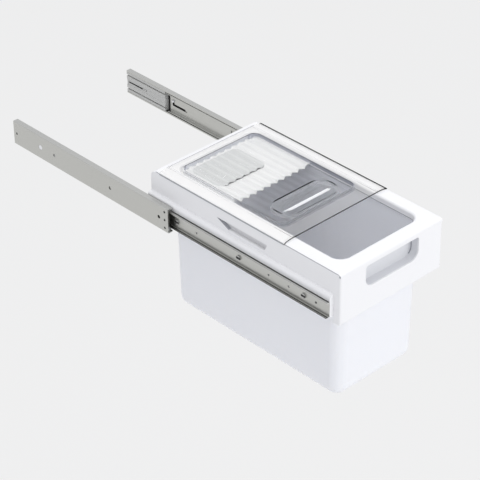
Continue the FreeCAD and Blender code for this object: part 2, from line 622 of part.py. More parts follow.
def ledge_screws(name, side):
    # Three pan-head screws that hold the drawer member to the ledge
    screws = []
    for along in screw_places():
        head_low, head_high = across(side, MEMBER_WEB, HEAD_TOP)
        shank_low, shank_high = across(side, f"{MEMBER_WEB} - screw_length", MEMBER_WEB)
        head = cylinder(name + "_head", "x", (head_low, along, MIDDLE_LINE), f"({head_high}) - ({head_low})",
                        "screw_head_radius")
        shank = cylinder(name + "_shank", "x", (shank_low, along, MIDDLE_LINE),
                         f"({shank_high}) - ({shank_low})", "screw_radius")
        recess = across(side, f"{HEAD_TOP} - recess_depth", f"{HEAD_TOP} + recess_depth")
        wide = box(name + "_slot", recess, (f"{along} - recess_length / 2", f"{along} + recess_length / 2"),
                   (f"{MIDDLE_LINE} - recess_width / 2", f"{MIDDLE_LINE} + recess_width / 2"))
        tall = box(name + "_slot", recess, (f"{along} - recess_width / 2", f"{along} + recess_width / 2"),
                   (f"{MIDDLE_LINE} - recess_length / 2", f"{MIDDLE_LINE} + recess_length / 2"))
        whole = group("Part::MultiFuse", name + "_screw", [head, shank])
        cross = group("Part::MultiFuse", name + "_cross", [wide, tall])
        screws.append(cut(name + "_driven", whole, cross))
    return group("Part::Compound", name, screws)


# Soft-close unit


def soft_close_housing(name, side):
    # Block in the rear of the cabinet member, grooved so that the drawer member passes over it
    body = new_body(name)
    face = new_sketch(body, "YZ_Plane", mirrored(side, CABINET_LIPS))
    low = "(sheet_gauge + housing_play)"
    rectangle(face, HOUSING_START, "slide_length", low, from_top(low))
    add(body, face, f"{CABINET_WEB} - {CABINET_LIPS}", backwards=side < 0)
    grooves = new_sketch(body, "YZ_Plane", mirrored(side, CABINET_LIPS))
    bottom = f"({MEMBER_LOW} - groove_play)"
    top = f"({MEMBER_LOW} + sheet_gauge + groove_play)"
    rectangle(grooves, f"{HOUSING_START} - past", "slide_length + past", bottom, top)
    rectangle(grooves, f"{HOUSING_START} - past", "slide_length + past", from_top(top), from_top(bottom))
    take(body, grooves, f"{MEMBER_TIPS} + groove_play - {CABINET_LIPS}", backwards=side > 0)
    heads = new_sketch(body, "YZ_Plane", mirrored(side, CABINET_LIPS))
    rectangle(heads, f"{HOUSING_START} - past", "slide_length + past",
              f"{MIDDLE_LINE} - screw_head_radius - groove_play",
              f"{MIDDLE_LINE} + screw_head_radius + groove_play")
    take(body, heads, f"{HEAD_GROOVE} - {CABINET_LIPS}", backwards=side > 0)
    cavity = new_sketch(body, "YZ_Plane", mirrored(side, CABINET_WEB))
    rectangle(cavity, CAVITY_FRONT, CAVITY_REAR, f"{MIDDLE_LINE} - cavity_half_height",
              f"{MIDDLE_LINE} + cavity_half_height")
    take(body, cavity, "cavity_depth", backwards=side < 0)
    slot = new_sketch(body, "YZ_Plane", mirrored(side, CAVITY_FLOOR))
    rectangle(slot, f"{CATCH_START} - past * 2", CAVITY_REAR,
              f"{MIDDLE_LINE} - finger_height / 2 - catch_play",
              f"{MIDDLE_LINE} + finger_height / 2 + catch_play")
    take(body, slot, f"{CAVITY_FLOOR} - {CABINET_LIPS}", backwards=side < 0)
    return body


def soft_close_catch(name, side):
    # Sliding block with the finger that the drawer member's tab carries along
    body = new_body(name)
    block = new_sketch(body, "XZ_Plane", f"-1 * {CATCH_START}")
    back = f"({CABINET_WEB} - catch_play)"
    front = f"({CAVITY_FLOOR} + catch_play)"
    tip = f"({TAB_TIP} + finger_gap)"
    low = f"({MIDDLE_LINE} - cavity_half_height + catch_play)"
    high = f"({MIDDLE_LINE} + cavity_half_height - catch_play)"
    below = f"({MIDDLE_LINE} - finger_height / 2)"
    above = f"({MIDDLE_LINE} + finger_height / 2)"
    outline = [(back, low), (front, low), (front, below), (tip, below),
               (tip, above), (front, above), (front, high), (back, high)]
    polygon(block, [(mirrored(side, across_text), up_text) for across_text, up_text in outline])
    add(body, block, "catch_length", backwards=True)
    return body


def damper_cylinder(name, side):
    # Tube closed at its rear by a cap that guides the piston rod
    centre = mirrored(side, MECHANISM)
    up = f"{MIDDLE_LINE} + damper_height"
    front = f"{CAVITY_FRONT} + damper_end"
    tube = cylinder(name + "_tube", "y", (centre, front, up), "damper_length", "damper_radius")
    inside = (centre, f"{front} + damper_end", up)
    bore = cylinder(name + "_bore", "y", inside, "damper_length - damper_cap - damper_end", "damper_bore")
    hole = cylinder(name + "_hole", "y", inside, "damper_length", "rod_radius + rod_play")
    return cut(name, tube, group("Part::MultiFuse", name + "_inside", [bore, hole]))


def piston_rod(name, side):
    # Rod with its piston, fixed to the front face of the catch
    centre = mirrored(side, MECHANISM)
    up = f"{MIDDLE_LINE} + damper_height"
    start = f"({CAVITY_FRONT} + piston_start)"
    rod = cylinder(name + "_rod", "y", (centre, start, up), f"{CATCH_START} - {start}", "rod_radius")
    piston = cylinder(name + "_piston", "y", (centre, start, up), "piston_length", "piston_radius")
    return group("Part::MultiFuse", name, [rod, piston])


def closing_spring(name, side):
    # Compression spring between the housing's front wall and the catch
    radius = value("spring_radius")
    wire = value("spring_wire")
    start = value(f"{CAVITY_FRONT} + spring_wire + spring_play")
    end = value(f"{CATCH_START} - spring_wire - spring_play")
    helix = Part.makeHelix((end - start) / value("spring_coils"), end - start, radius)
    profile = Part.Wire(Part.makeCircle(wire, FreeCAD.Vector(radius, 0, 0), FreeCAD.Vector(0, 1, 0)))
    spring = doc.addObject("Part::Feature", name)
    spring.Shape = Part.Wire(helix).makePipeShell([profile], True, True)
    spot = FreeCAD.Vector(value(mirrored(side, MECHANISM)), start, value(f"{MIDDLE_LINE} - spring_drop"))
    spring.Placement = FreeCAD.Placement(spot, FreeCAD.Rotation(FreeCAD.Vector(1, 0, 0), -90))
    return spring


# Carrier frame


def slide_ledge(name, side):
    # Rail on the carrier's side that the drawer member is screwed to
    body = new_body(name)
    profile = new_sketch(body, "XZ_Plane", f"-1 * {MEMBER_FRONT}")
    low, high = across(side, FRAME_HALF, MEMBER_FACE)
    rectangle(profile, low, high, FRAME_BOTTOM, LEDGE_TOP)
    add(body, profile, f"{FRAME_REAR} - {MEMBER_FRONT}", backwards=True)
    web_holes(body, side, MEMBER_FACE, "screw_length", member_holes())
    soften(body, "ledge_round", [{"x": value(mirrored(side, MEMBER_FACE)), "z": value(LEDGE_TOP)}])
    return body


def slot_outline(around):
    # Corners of a finger slot, widened by a margin
    low = f"{SLOT_TOP} - slot_height - {around}"
    high = f"{SLOT_TOP} + {around}"
    return [(f"{MEMBER_FRONT} + slot_front_low - {around}", low),
            (f"{MEMBER_FRONT} + slot_rear_low + {around}", low),
            (f"{MEMBER_FRONT} + slot_rear + {around}", high),
            (f"{MEMBER_FRONT} + slot_front - {around}", high)]


def slot_tray(name, side):
    # Shallow tray behind a finger slot, against the inside of the carrier's wall
    body = new_body(name)
    shell = new_sketch(body, "YZ_Plane", mirrored(side, FRAME_INSIDE))
    polygon(shell, slot_outline("tray_wall"))
    add(body, shell, "tray_depth", backwards=side > 0)
    room = new_sketch(body, "YZ_Plane", mirrored(side, FRAME_INSIDE))
    polygon(room, slot_outline("0"))
    take(body, room, "tray_depth - tray_wall", backwards=side < 0)
    return body


def carrier_frame(name):
    # One moulding: side and end walls, a shelf for the bin, and the front panel
    body = new_body(name)
    half, inside = FRAME_HALF, FRAME_INSIDE
    outer = new_sketch(body, "XY_Plane", FRAME_BOTTOM)
    rectangle(outer, f"-1 * {half}", half, FRAME_FRONT, FRAME_REAR)
    add(body, outer, f"frame_top - {FRAME_BOTTOM}")
    chin = new_sketch(body, "XY_Plane", "chin_bottom")
    rectangle(chin, f"-1 * {half}", half, FRAME_FRONT, MEMBER_FRONT)
    add(body, chin, f"{FRAME_BOTTOM} - chin_bottom + frame_wall")
    hollow = new_sketch(body, "XY_Plane", FRAME_BOTTOM)
    rectangle(hollow, f"-1 * {inside}", inside, MEMBER_FRONT, f"{SEAT_REAR} + past * 2")
    take(body, hollow, f"{DECK_LOW} - {FRAME_BOTTOM}", backwards=True)
    tray = new_sketch(body, "XY_Plane", "chin_bottom + frame_wall")
    rectangle(tray, f"-1 * {inside}", inside, f"{FRAME_FRONT} + frame_wall", f"{MEMBER_FRONT} - frame_wall")
    take(body, tray, f"{FRAME_BOTTOM} - chin_bottom", backwards=True)
    front = new_sketch(body, "XY_Plane", FRAME_BOTTOM)
    rectangle(front, f"-1 * {inside}", inside, f"{FRAME_FRONT} + frame_wall", f"{MEMBER_FRONT} + past")
    take(body, front, f"{DECK_LOW} - {FRAME_BOTTOM}", backwards=True)
    rear = new_sketch(body, "XY_Plane", FRAME_BOTTOM)
    rectangle(rear, f"-1 * {inside}", inside, SEAT_REAR, f"{FRAME_REAR} - frame_wall")
    take(body, rear, f"frame_top - beam_height - {FRAME_BOTTOM}", backwards=True)
    seat = new_sketch(body, "XY_Plane", "frame_top")
    rectangle(seat, f"-1 * {inside}", inside, f"{FRAME_FRONT} + frame_wall", SEAT_REAR)
    take(body, seat, "deck_drop")
    hole = new_sketch(body, "XY_Plane", DECK_TOP)
    rounded_rectangle(hole, f"-1 * ({BIN_HALF} + bin_play)", f"{BIN_HALF} + bin_play",
                      f"{BIN_FRONT} - bin_play", "bin_rear + bin_play", "bin_corner", "bin_corner")
    take(body, hole, "deck_thickness + past")
    lip = new_sketch(body, "XY_Plane", "frame_top")
    rectangle(lip, f"-1 * ({half} + past)", f"{half} + past", f"{FRAME_FRONT} - past",
              f"{FRAME_FRONT} + frame_wall")
    take(body, lip, "lip_drop")
    for side in (-1, 1):
        slot = new_sketch(body, "YZ_Plane", mirrored(side, half))
        polygon(slot, slot_outline("0"))
        take(body, slot, "frame_wall + past", backwards=side < 0)
    grip = new_sketch(body, "XZ_Plane", f"-1 * {FRAME_FRONT}")
    rounded_rectangle(grip, "-1 * grip_left", "grip_right", GRIP_BOTTOM, GRIP_TOP, "grip_round_bottom",
                      "grip_round_top")
    take(body, grip, "frame_wall + past")
    x, y = value(half), value(FRAME_FRONT)
    soften(body, "frame_corner", [{"x": x, "y": y}, {"x": -x, "y": y}, {"y": y, "z": value("chin_bottom")}])
    soften(body, "rear_round", [{"y": value(FRAME_REAR), "z": value("frame_top")}])
    return body


def handle_pocket(name):
    # Tray behind the handle opening that stops the fingers
    body = new_body(name)
    start = f"({FRAME_FRONT} + frame_wall)"
    around = "(grip_step + grip_wall)"
    shell = new_sketch(body, "XZ_Plane", f"-1 * {start}")
    rounded_rectangle(shell, f"-1 * (grip_left + {around})", f"grip_right + {around}",
                      f"{GRIP_BOTTOM} - {around}", f"{GRIP_TOP} + {around} - grip_step",
                      "grip_round_bottom", "grip_round_top")
    add(body, shell, "grip_depth - frame_wall", backwards=True)
    well = new_sketch(body, "XZ_Plane", f"-1 * {start}")
    rounded_rectangle(well, "-1 * (grip_left + grip_step)", "grip_right + grip_step",
                      f"{GRIP_BOTTOM} - grip_step", GRIP_TOP, "grip_round_bottom", "grip_round_top")
    take(body, well, "grip_depth - frame_wall - grip_wall")
    return body


# Bin and its top


def drafted_block(name, inset, low):
    # Block that narrows downwards, with round upright corners and a round foot
    body = new_body(name)
    top = new_sketch(body, "XY_Plane", DECK_TOP)
    rounded_rectangle(top, f"-1 * ({BIN_HALF} - {inset})", f"{BIN_HALF} - {inset}",
                      f"{BIN_FRONT} + {inset}", f"bin_rear - {inset}", f"bin_corner - {inset}",
                      f"bin_corner - {inset}")
    block = add(body, top, f"{DECK_TOP} - {low}", backwards=True)
    bind(block, "TaperAngle", "-1 * bin_draft")
    doc.recompute()
    soften(body, f"bin_foot - {inset}", [{"z": value(low)}])
    return body


def grain_bin(name):
    # Deep drafted tub with a flange that rests on the carrier's shelf
    outside = drafted_block(name + "_outside", "0", BIN_BOTTOM)
    room = drafted_block(name + "_room", "bin_wall", f"({BIN_BOTTOM} + bin_wall)")
    ring = new_body(name + "_flange")
    flange = new_sketch(ring, "XY_Plane", DECK_TOP)
    rounded_rectangle(flange, f"-1 * ({FRAME_INSIDE} - flange_play)", f"{FRAME_INSIDE} - flange_play",
                      f"{BIN_FRONT} - flange_end", "bin_rear + flange_end", "bin_corner", "bin_corner")
    rounded_rectangle(flange, f"-1 * ({BIN_HALF} - bin_wall)", f"{BIN_HALF} - bin_wall",
                      f"{BIN_FRONT} + bin_wall", "bin_rear - bin_wall", "bin_corner - bin_wall",
                      "bin_corner - bin_wall")
    add(ring, flange, "flange_thickness")
    return group("Part::MultiFuse", name, [cut(name + "_tub", outside, room), ring])


def lid_frame(name):
    # White top frame: stepped plate, inner wall round the mouth, and a front lip
    body = new_body(name)
    half, inside = FRAME_HALF, f"({FRAME_INSIDE} - rim_step)"
    plate = new_sketch(body, "XY_Plane", "frame_top")
    rectangle(plate, f"-1 * {half}", half, FRAME_FRONT, RIM_REAR)
    add(body, plate, "rim_rise")
    step = new_sketch(body, "XY_Plane", RIM_UNDER)
    rectangle(step, f"-1 * {inside}", inside, f"{FRAME_FRONT} + frame_wall - past", f"{SEAT_REAR} - rim_step")
    add(body, step, f"frame_top - {RIM_UNDER} + past / 2")
    wall = new_sketch(body, "XY_Plane", RIM_LOW)
    rounded_rectangle(wall, f"-1 * ({MOUTH_HALF} + rim_wall)", f"{MOUTH_HALF} + rim_wall",
                      f"{MOUTH_FRONT} - rim_wall", f"{MOUTH_REAR} + rim_wall", "mouth_corner + rim_wall",
                      "mouth_corner + rim_wall")
    add(body, wall, f"frame_top - {RIM_LOW}")
    lip = new_sketch(body, "XY_Plane", LIP_LOW)
    rectangle(lip, f"-1 * {half}", half, FRAME_FRONT, f"{FRAME_FRONT} + frame_wall")
    add(body, lip, "lip_drop + past / 2")
    mouth = new_sketch(body, "XY_Plane", RIM_TOP)
    rounded_rectangle(mouth, f"-1 * {MOUTH_HALF}", MOUTH_HALF, MOUTH_FRONT, MOUTH_REAR,
                      "mouth_corner", "mouth_corner")
    take(body, mouth, "rim_depth + past")
    soften(body, "lip_round", [{"y": value(FRAME_FRONT), "z": value(RIM_TOP)}])
    soften(body, "mouth_round", [{"x": value(MOUTH_HALF), "z": value(RIM_TOP)}])
    return body


def ribbed_sheet(name, low, thickness, ends, front, length):
    # Sheet with sawtooth ribs from front to back, each with one gentle and one steep side
    body = new_body(name)
    profile = new_sketch(body, "XZ_Plane", f"-1 * {front}")
    bottom = [(f"-1 * {ends}", f"{low} + rib_rise")]
    for number in range(RIB_COUNT):
        crest = f"{RIB_PITCH} * {number - RIB_COUNT / 2}"
        bottom.append((crest, f"{low} + rib_rise"))
        bottom.append((f"{crest} + {RIB_PITCH} - rib_steep", low))
    bottom.append((f"{RIB_PITCH} * {RIB_COUNT / 2}", f"{low} + rib_rise"))
    bottom.append((ends, f"{low} + rib_rise"))
    top = [(along, f"{up} + {thickness}") for along, up in reversed(bottom)]
    polygon(profile, bottom + top)
    add(body, profile, length, backwards=True)
    return body


def rounded_block(name, low, height, left, right, front, rear, corner):
    body = new_body(name)
    outline = new_sketch(body, "XY_Plane", low)
    rounded_rectangle(outline, left, right, front, rear, corner, corner)
    add(body, outline, height)
    return body


def within(name, sheet_body, block):
    result = doc.addObject("Part::Common", name)
    result.Base = sheet_body
    result.Tool = block
    return result


def mat_shape(name, thickness):
    # Ribbed slab with round corners that follows the top of the rear cover
    low = f"({RIM_LOW} + cover_thickness - mat_depth)"
    slab = ribbed_sheet(name + "_sheet", low, thickness, MOUTH_HALF, MAT_FRONT, "mat_length")
    block = rounded_block(name + "_outline", low, f"rib_rise + {thickness}", "-1 * mat_left", "mat_right",
                          MAT_FRONT, MAT_REAR, "mat_corner")
    return within(name, slab, block)


def rear_cover(name):
    # Fixed ribbed plate that closes the rear of the mouth; the lid's ribs run over its own
    plate = ribbed_sheet(name + "_sheet", RIM_LOW, "cover_thickness", MOUTH_HALF, COVER_FRONT,
                         "cover_length")
    block = rounded_block(name + "_mouth", RIM_LOW, "rib_rise + cover_thickness", f"-1 * {MOUTH_HALF}",
                          MOUTH_HALF, MOUTH_FRONT, MOUTH_REAR, "mouth_corner")
    recess = mat_shape(name + "_recess", "(mat_depth * 2)")
    return cut(name, within(name + "_plate", plate, block), recess)


def sliding_lid(name):
    # Clear moulding: a flat rim with skirts and runners, and a sunken pan with a ribbed floor
    body = new_body(name + "_rim")
    walls = new_sketch(body, "XY_Plane", PAN_LOW)
    inner = f"({PAN_HALF} - lid_thickness)"
    rounded_rectangle(walls, f"-1 * {PAN_HALF}", PAN_HALF, PAN_FRONT, PAN_REAR,
                      "pan_corner", "pan_corner")
    rounded_rectangle(walls, f"-1 * {inner}", inner, f"{PAN_FRONT} + lid_thickness",
                      f"{PAN_REAR} - lid_thickness",
                      "pan_corner - lid_thickness", "pan_corner - lid_thickness")
    add(body, walls, f"{LID_TOP} - {PAN_LOW}")
    plate = new_sketch(body, "XY_Plane", LID_UNDER)
    rounded_rectangle(plate, f"-1 * {LID_HALF_WIDTH}", LID_HALF_WIDTH, LID_FRONT, LID_REAR, "lid_corner",
                      "lid_corner")
    rounded_rectangle(plate, f"-1 * {PAN_MIDDLE}", PAN_MIDDLE, f"{PAN_FRONT} + lid_thickness / 2",
                      f"{PAN_REAR} - lid_thickness / 2", "pan_corner - lid_thickness / 2",
                      "pan_corner - lid_thickness / 2")
    add(body, plate, "lid_thickness")
    skirts = new_sketch(body, "XY_Plane", SKIRT_LOW)
    for side in (-1, 1):
        low, high = across(side, SKIRT_NEAR, LID_HALF_WIDTH)
        rectangle(skirts, low, high, f"{LID_FRONT} + lid_corner", f"{LID_REAR} - lid_corner")
    add(body, skirts, f"{LID_UNDER} - {SKIRT_LOW} + lid_thickness / 2")
    runners = new_sketch(body, "XY_Plane", RIM_TOP)
    for side in (-1, 1):
        low, high = across(side, RUNNER_NEAR, f"{RUNNER_NEAR} + runner_width")
        rectangle(runners, low, high, f"{LID_FRONT} + lid_corner", f"{LID_REAR} - lid_corner")
    add(body, runners, f"{LID_UNDER} - {RIM_TOP} + lid_thickness / 2")
    below = ribbed_sheet(name + "_below", f"({PAN_LOW} - rib_rise * 2)", "rib_rise * 2", PAN_HALF, PAN_FRONT,
                         "pan_length")
    floor = ribbed_sheet(name + "_ribs", PAN_LOW, "lid_thickness", PAN_MIDDLE,
                         f"({PAN_FRONT} + lid_thickness / 2)", "pan_length - lid_thickness")
    block = rounded_block(name + "_room", PAN_LOW, "rib_rise + lid_thickness", f"-1 * {PAN_MIDDLE}",
                          PAN_MIDDLE, f"{PAN_FRONT} + lid_thickness / 2", f"{PAN_REAR} - lid_thickness / 2",
                          "pan_corner - lid_thickness / 2")
    upper = cut(name + "_upper", body, below)
    return group("Part::MultiFuse", name, [upper, within(name + "_floor", floor, block)])


def lid_grip(name):
    # Raised grip on the ribs, with one long finger well
    body = new_body(name)
    boss = new_sketch(body, "XY_Plane", PULL_LOW)
    rounded_rectangle(boss, f"-1 * {PULL_HALF}", PULL_HALF, f"{PULL_CENTRE} - pull_half_width",
                      f"{PULL_CENTRE} + pull_half_width", "pull_corner", "pull_corner")
    add(body, boss, "pull_height")
    well = new_sketch(body, "XY_Plane", f"{PULL_LOW} + pull_height")
    rounded_rectangle(well, f"-1 * {WELL_HALF}", WELL_HALF, f"{PULL_CENTRE} - well_front",
                      f"{PULL_CENTRE} + well_rear", "finger_corner", "finger_corner")
    take(body, well, "finger_depth")
    return body


parts = []
for word, side in (("left", -1), ("right", 1)):
    outer_web = f"({CABINET_WEB} - (web_gap - cage_gauge) / 2)"
    inner_web = f"({MIDDLE_IN} - cage_gap)"
    parts += [
        cabinet_member(f"cabinet_member_{word}", side),
        soft_close_housing(f"soft_close_housing_{word}", side),
        damper_cylinder(f"damper_cylinder_{word}", side),
        closing_spring(f"closing_spring_{word}", side),
        soft_close_catch(f"soft_close_catch_{word}", side),
        piston_rod(f"piston_rod_{word}", side),
        middle_member(f"middle_member_{word}", side),
        middle_buffer(f"middle_buffer_{word}", side),
        ball_cage(f"outer_ball_cage_{word}", side, outer_web, "outer_ball_depth", "outer_strip_depth",
                  OUTER_RACE, OUTER_CAGE_START, "outer_cage_length", "outer_ball_radius"),
        ball_rows(f"outer_balls_{word}", side, "outer_ball_depth", OUTER_RACE, OUTER_CAGE_START,
                  "outer_cage_length", "outer_ball_radius"),
        ball_cage(f"inner_ball_cage_{word}", side, inner_web, "inner_ball_depth", "inner_strip_depth",
                  INNER_RACE, "inner_cage_start", "inner_cage_length", "inner_ball_radius"),
        ball_rows(f"inner_balls_{word}", side, "inner_ball_depth", INNER_RACE,
                  "inner_cage_start", "inner_cage_length", "inner_ball_radius"),
        drawer_member(f"drawer_member_{word}", side),
        ledge_screws(f"ledge_screws_{word}", side),
        slide_ledge(f"slide_ledge_{word}", side),
        slot_tray(f"slot_tray_{word}", side),
    ]
parts += [
    carrier_frame("carrier_frame"),
    handle_pocket("handle_pocket"),
    grain_bin("grain_bin"),
    lid_frame("lid_frame"),
    rear_cover("rear_cover"),
    mat_shape("cover_mat", "mat_depth"),
    sliding_lid("sliding_lid"),
    lid_grip("lid_grip"),
]

# Everything is checked before anything is written
doc.recompute()
for item in doc.Objects:
    if "Invalid" in item.State or "Error" in item.State:
        raise RuntimeError(f"{item.Label} did not compute: {item.State}")
for part in parts:
    if part.Shape.isNull() or not part.Shape.isValid():
        raise RuntimeError(f"{part.Label} has no valid shape")

os.makedirs("parts", exist_ok=True)
for part in parts:
    part.Shape.exportStep(f"parts/{part.Label}.step")
    bounds = part.Shape.BoundBox
    print(f"{part.Label:26s} {len(part.Shape.Solids):3d} solids {part.Shape.Volume:11.1f} mm3  "
          f"x {bounds.XMin:7.1f} {bounds.XMax:7.1f}  y {bounds.YMin:7.1f} {bounds.YMax:7.1f}  "
          f"z {bounds.ZMin:7.1f} {bounds.ZMax:7.1f}")
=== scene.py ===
# %% [markdown]
# # A pull-out grain drawer for a kitchen cabinet
# A white carrier frame hangs on two telescopic ball-bearing slides. A deep translucent bin drops
# into it, and a clear ribbed lid slides over the bin's mouth. The solid model comes first:
# everything here is fitted to it, in metres, with X to the right, Y into the cabinet and Z up.
# Sizes and places on the drawer are typed in millimetres, and MM turns them into metres.

# %% Load the solid model
import json
import math
import bmesh
import bpy
from mathutils import Matrix, Vector


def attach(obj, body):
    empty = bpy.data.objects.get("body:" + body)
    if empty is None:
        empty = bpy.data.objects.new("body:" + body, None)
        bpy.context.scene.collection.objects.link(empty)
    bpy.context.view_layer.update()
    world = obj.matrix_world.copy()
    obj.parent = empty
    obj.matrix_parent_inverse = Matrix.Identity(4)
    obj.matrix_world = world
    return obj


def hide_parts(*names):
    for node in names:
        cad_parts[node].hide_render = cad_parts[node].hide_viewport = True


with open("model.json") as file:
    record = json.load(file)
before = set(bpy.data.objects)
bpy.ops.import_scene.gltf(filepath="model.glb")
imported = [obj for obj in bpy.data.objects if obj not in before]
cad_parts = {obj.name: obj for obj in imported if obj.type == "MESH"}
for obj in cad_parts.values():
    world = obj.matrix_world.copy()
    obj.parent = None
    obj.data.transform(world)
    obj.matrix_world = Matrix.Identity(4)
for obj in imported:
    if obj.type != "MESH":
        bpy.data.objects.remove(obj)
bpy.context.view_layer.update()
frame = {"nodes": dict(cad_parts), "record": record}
MM = 0.001
BODY_OF = {node: body for body, nodes in frame["record"]["behaviour"]["bodies"].items()
           for node in nodes}
SLOT_OF = {part["node"]: part["material_slot"] for part in frame["record"]["subparts"]}

# %% [markdown]
# ## The camera
# The photograph was taken with a long lens from the left, above and in front. Its place was found
# by matching the edges of the slides, whose real size is known, so a 36 mm wide sensor with a
# 151 mm lens gives the same picture.

# %% Camera
AZIMUTH, ELEVATION, ROLL = math.radians(-43.06), math.radians(33.48), math.radians(-0.66)
CAMERA_PLACE = (-1.90581, -2.06557, 1.78452)
SENSOR_WIDTH, LENS = 36.0, 151.0

away = Vector((math.sin(AZIMUTH) * math.cos(ELEVATION), -math.cos(AZIMUTH) * math.cos(ELEVATION),
               math.sin(ELEVATION)))
camera_turn = away.to_track_quat("Z", "Y").to_matrix() @ Matrix.Rotation(ROLL, 3, "Z")
camera_data = bpy.data.cameras.new("camera")
camera_data.sensor_fit = "HORIZONTAL"
camera_data.sensor_width = SENSOR_WIDTH
camera_data.lens = LENS
camera = bpy.data.objects.new("camera", camera_data)
bpy.context.scene.collection.objects.link(camera)
camera.matrix_world = Matrix.Translation(CAMERA_PLACE) @ camera_turn.to_4x4()
bpy.context.scene.camera = camera
print("camera looks along", [round(v, 4) for v in -away])

# %% [markdown]
# ## Helpers for materials
# One function turns an sRGB hex colour into the linear values that shaders want, and one adds a
# node with its settings and links. A pattern's scale is worked out from a real size in
# millimetres. Three small helpers lay a noise, map it onto a range, and take the largest of
# several values.


# %% Material helpers
def linear(hex_colour):
    levels = [int(hex_colour[i:i + 2], 16) / 255 for i in (1, 3, 5)]
    return tuple(v / 12.92 if v <= 0.04045 else ((v + 0.055) / 1.055) ** 2.4
                 for v in levels) + (1.0,)


def per_mm(size):
    # A noise texture with this scale has features about this many millimetres across
    return 1.0 / (size * MM)


def add_node(material, kind, links=None, **settings):
    node = material.node_tree.nodes.new(kind)
    for key, setting in settings.items():
        if key in node.inputs:
            node.inputs[key].default_value = setting
        else:
            setattr(node, key, setting)
    for socket, source in (links or {}).items():
        material.node_tree.links.new(source, node.inputs[socket])
    return node


def new_material(name):
    material = bpy.data.materials.new(name)
    material.use_nodes = True
    material.node_tree.nodes.clear()
    return material


def close(material, shader):
    add_node(material, "ShaderNodeOutputMaterial", {"Surface": shader.outputs[0]})
    return material


def noise(material, vector, size, **settings):
    texture = add_node(material, "ShaderNodeTexNoise", {"Vector": vector}, Scale=per_mm(size),
                       **settings)
    return texture.outputs["Fac"]


def spread(material, source, low, high):
    # Maps 0 to 1 onto low to high
    mapped = add_node(material, "ShaderNodeMapRange", {"Value": source})
    mapped.inputs["To Min"].default_value = low
    mapped.inputs["To Max"].default_value = high
    return mapped.outputs["Result"]


def largest(material, first, *others):
    for other in others:
        first = add_node(material, "ShaderNodeMath", {0: first, 1: other},
                         operation="MAXIMUM").outputs[0]
    return first


# %% [markdown]
# ## Zinc-plated steel
# The slides are rolled from steel strip and zinc plated: a bright grey metal with long faint
# rolling marks along the strip. Noise stretched along Y gives the marks, and it changes only the
# roughness and a very low bump. The inner face of each cabinet member is painted dark as shade,
# and this painted shade is what shows through the openings of the middle member. It is a band of
# object coordinates: a distance from the middle plane and a height. Narrow bands of the same kind
# paint shade into small hollows of the drawer members and the recesses of the screws.

# %% Zinc-plated steel
# Painted shade bands: distance from the middle plane and half width, then height and half width
DARK_BANDS = (
    (132.8, 0.3, 22.5, 21.1),   # inner face of the cabinet member
    (125.2, 1.1, 9.6, 0.3),     # lower raceway of the drawer member
    (128.0, 0.2, 9.0, 0.8),     # cut tip of that raceway
    (122.6, 1.4, 36.6, 0.25),   # line of the drawer member beside the ledge
    (124.2, 0.4, 22.5, 2.0),    # recesses of the screws
)
# Colour and roughness of the painted shade on the steel
SHADE_PAINT_COLOUR, SHADE_PAINT_ROUGHNESS = "#1A1918", 0.55
MARK_WIDTH, MARK_STRETCH, MARK_DEPTH, MARK_STRENGTH = 1.2, 0.02, 0.02, 0.12
STEEL_UNEVENNESS = 0.06


def band(material, source, middle, half):
    # 1 inside the band and 0 outside it
    inside = add_node(material, "ShaderNodeMath", {0: source}, operation="COMPARE")
    inside.inputs[1].default_value = middle * MM
    inside.inputs[2].default_value = half * MM
    return inside.outputs[0]


# Where shade is painted onto the steel
def shade_paint_mask(material, place):
    axes = add_node(material, "ShaderNodeSeparateXYZ", {"Vector": place})
    side = add_node(material, "ShaderNodeMath", {0: axes.outputs["X"]}, operation="ABSOLUTE")
    patches = []
    for depth, half_depth, height, half_height in DARK_BANDS:
        deep = band(material, side.outputs[0], depth, half_depth)
        high = band(material, axes.outputs["Z"], height, half_height)
        patch = add_node(material, "ShaderNodeMath", {0: deep, 1: high}, operation="MULTIPLY")
        patches.append(patch.outputs[0])
    return largest(material, *patches)


def rolled_steel(name, hex_colour, roughness):
    steel = new_material(name)
    place = add_node(steel, "ShaderNodeTexCoord").outputs["Object"]
    along = add_node(steel, "ShaderNodeMapping", {"Vector": place}, Scale=(1.0, MARK_STRETCH, 1.0))
    marks = noise(steel, along.outputs[0], MARK_WIDTH, Detail=4.0)
    shine = spread(steel, marks, roughness - STEEL_UNEVENNESS, roughness + STEEL_UNEVENNESS)
    relief = add_node(steel, "ShaderNodeBump", {"Height": marks}, Strength=MARK_STRENGTH,
                      Distance=MARK_DEPTH * MM)
    metal = add_node(steel, "ShaderNodeBsdfPrincipled",
                     {"Roughness": shine, "Normal": relief.outputs[0]}, Metallic=1.0)
    metal.inputs["Base Color"].default_value = linear(hex_colour)
    # Painted shade mixed over the metal inside the bands
    shade_layer = add_node(steel, "ShaderNodeBsdfPrincipled", Roughness=SHADE_PAINT_ROUGHNESS)
    shade_layer.inputs["Base Color"].default_value = linear(SHADE_PAINT_COLOUR)
    both = add_node(steel, "ShaderNodeMixShader",
                    {0: shade_paint_mask(steel, place), 1: metal.outputs[0], 2: shade_layer.outputs[0]})
    return close(steel, both)


zinc_steel = rolled_steel("zinc_plated_steel_strip", "#C9C9C5", roughness=0.36)
screw_steel = rolled_steel("nickel_plated_screw_steel", "#B9B9B8", roughness=0.24)
ball_steel = rolled_steel("polished_bearing_steel", "#D5D6D8", roughness=0.12)
print("steels:", zinc_steel.name, screw_steel.name, ball_steel.name)

# %% [markdown]
# ## Injection-moulded plastics
# The carrier, the ledges and the lid frame are white ABS from a finely eroded mould: satin, with
# a barely visible grain. The same recipe with other colours serves the other mouldings, the mat
# and the faces that lie in shade. The bin is polypropylene, which lets some light through its
# 2 mm wall, so it gets subsurface scattering.

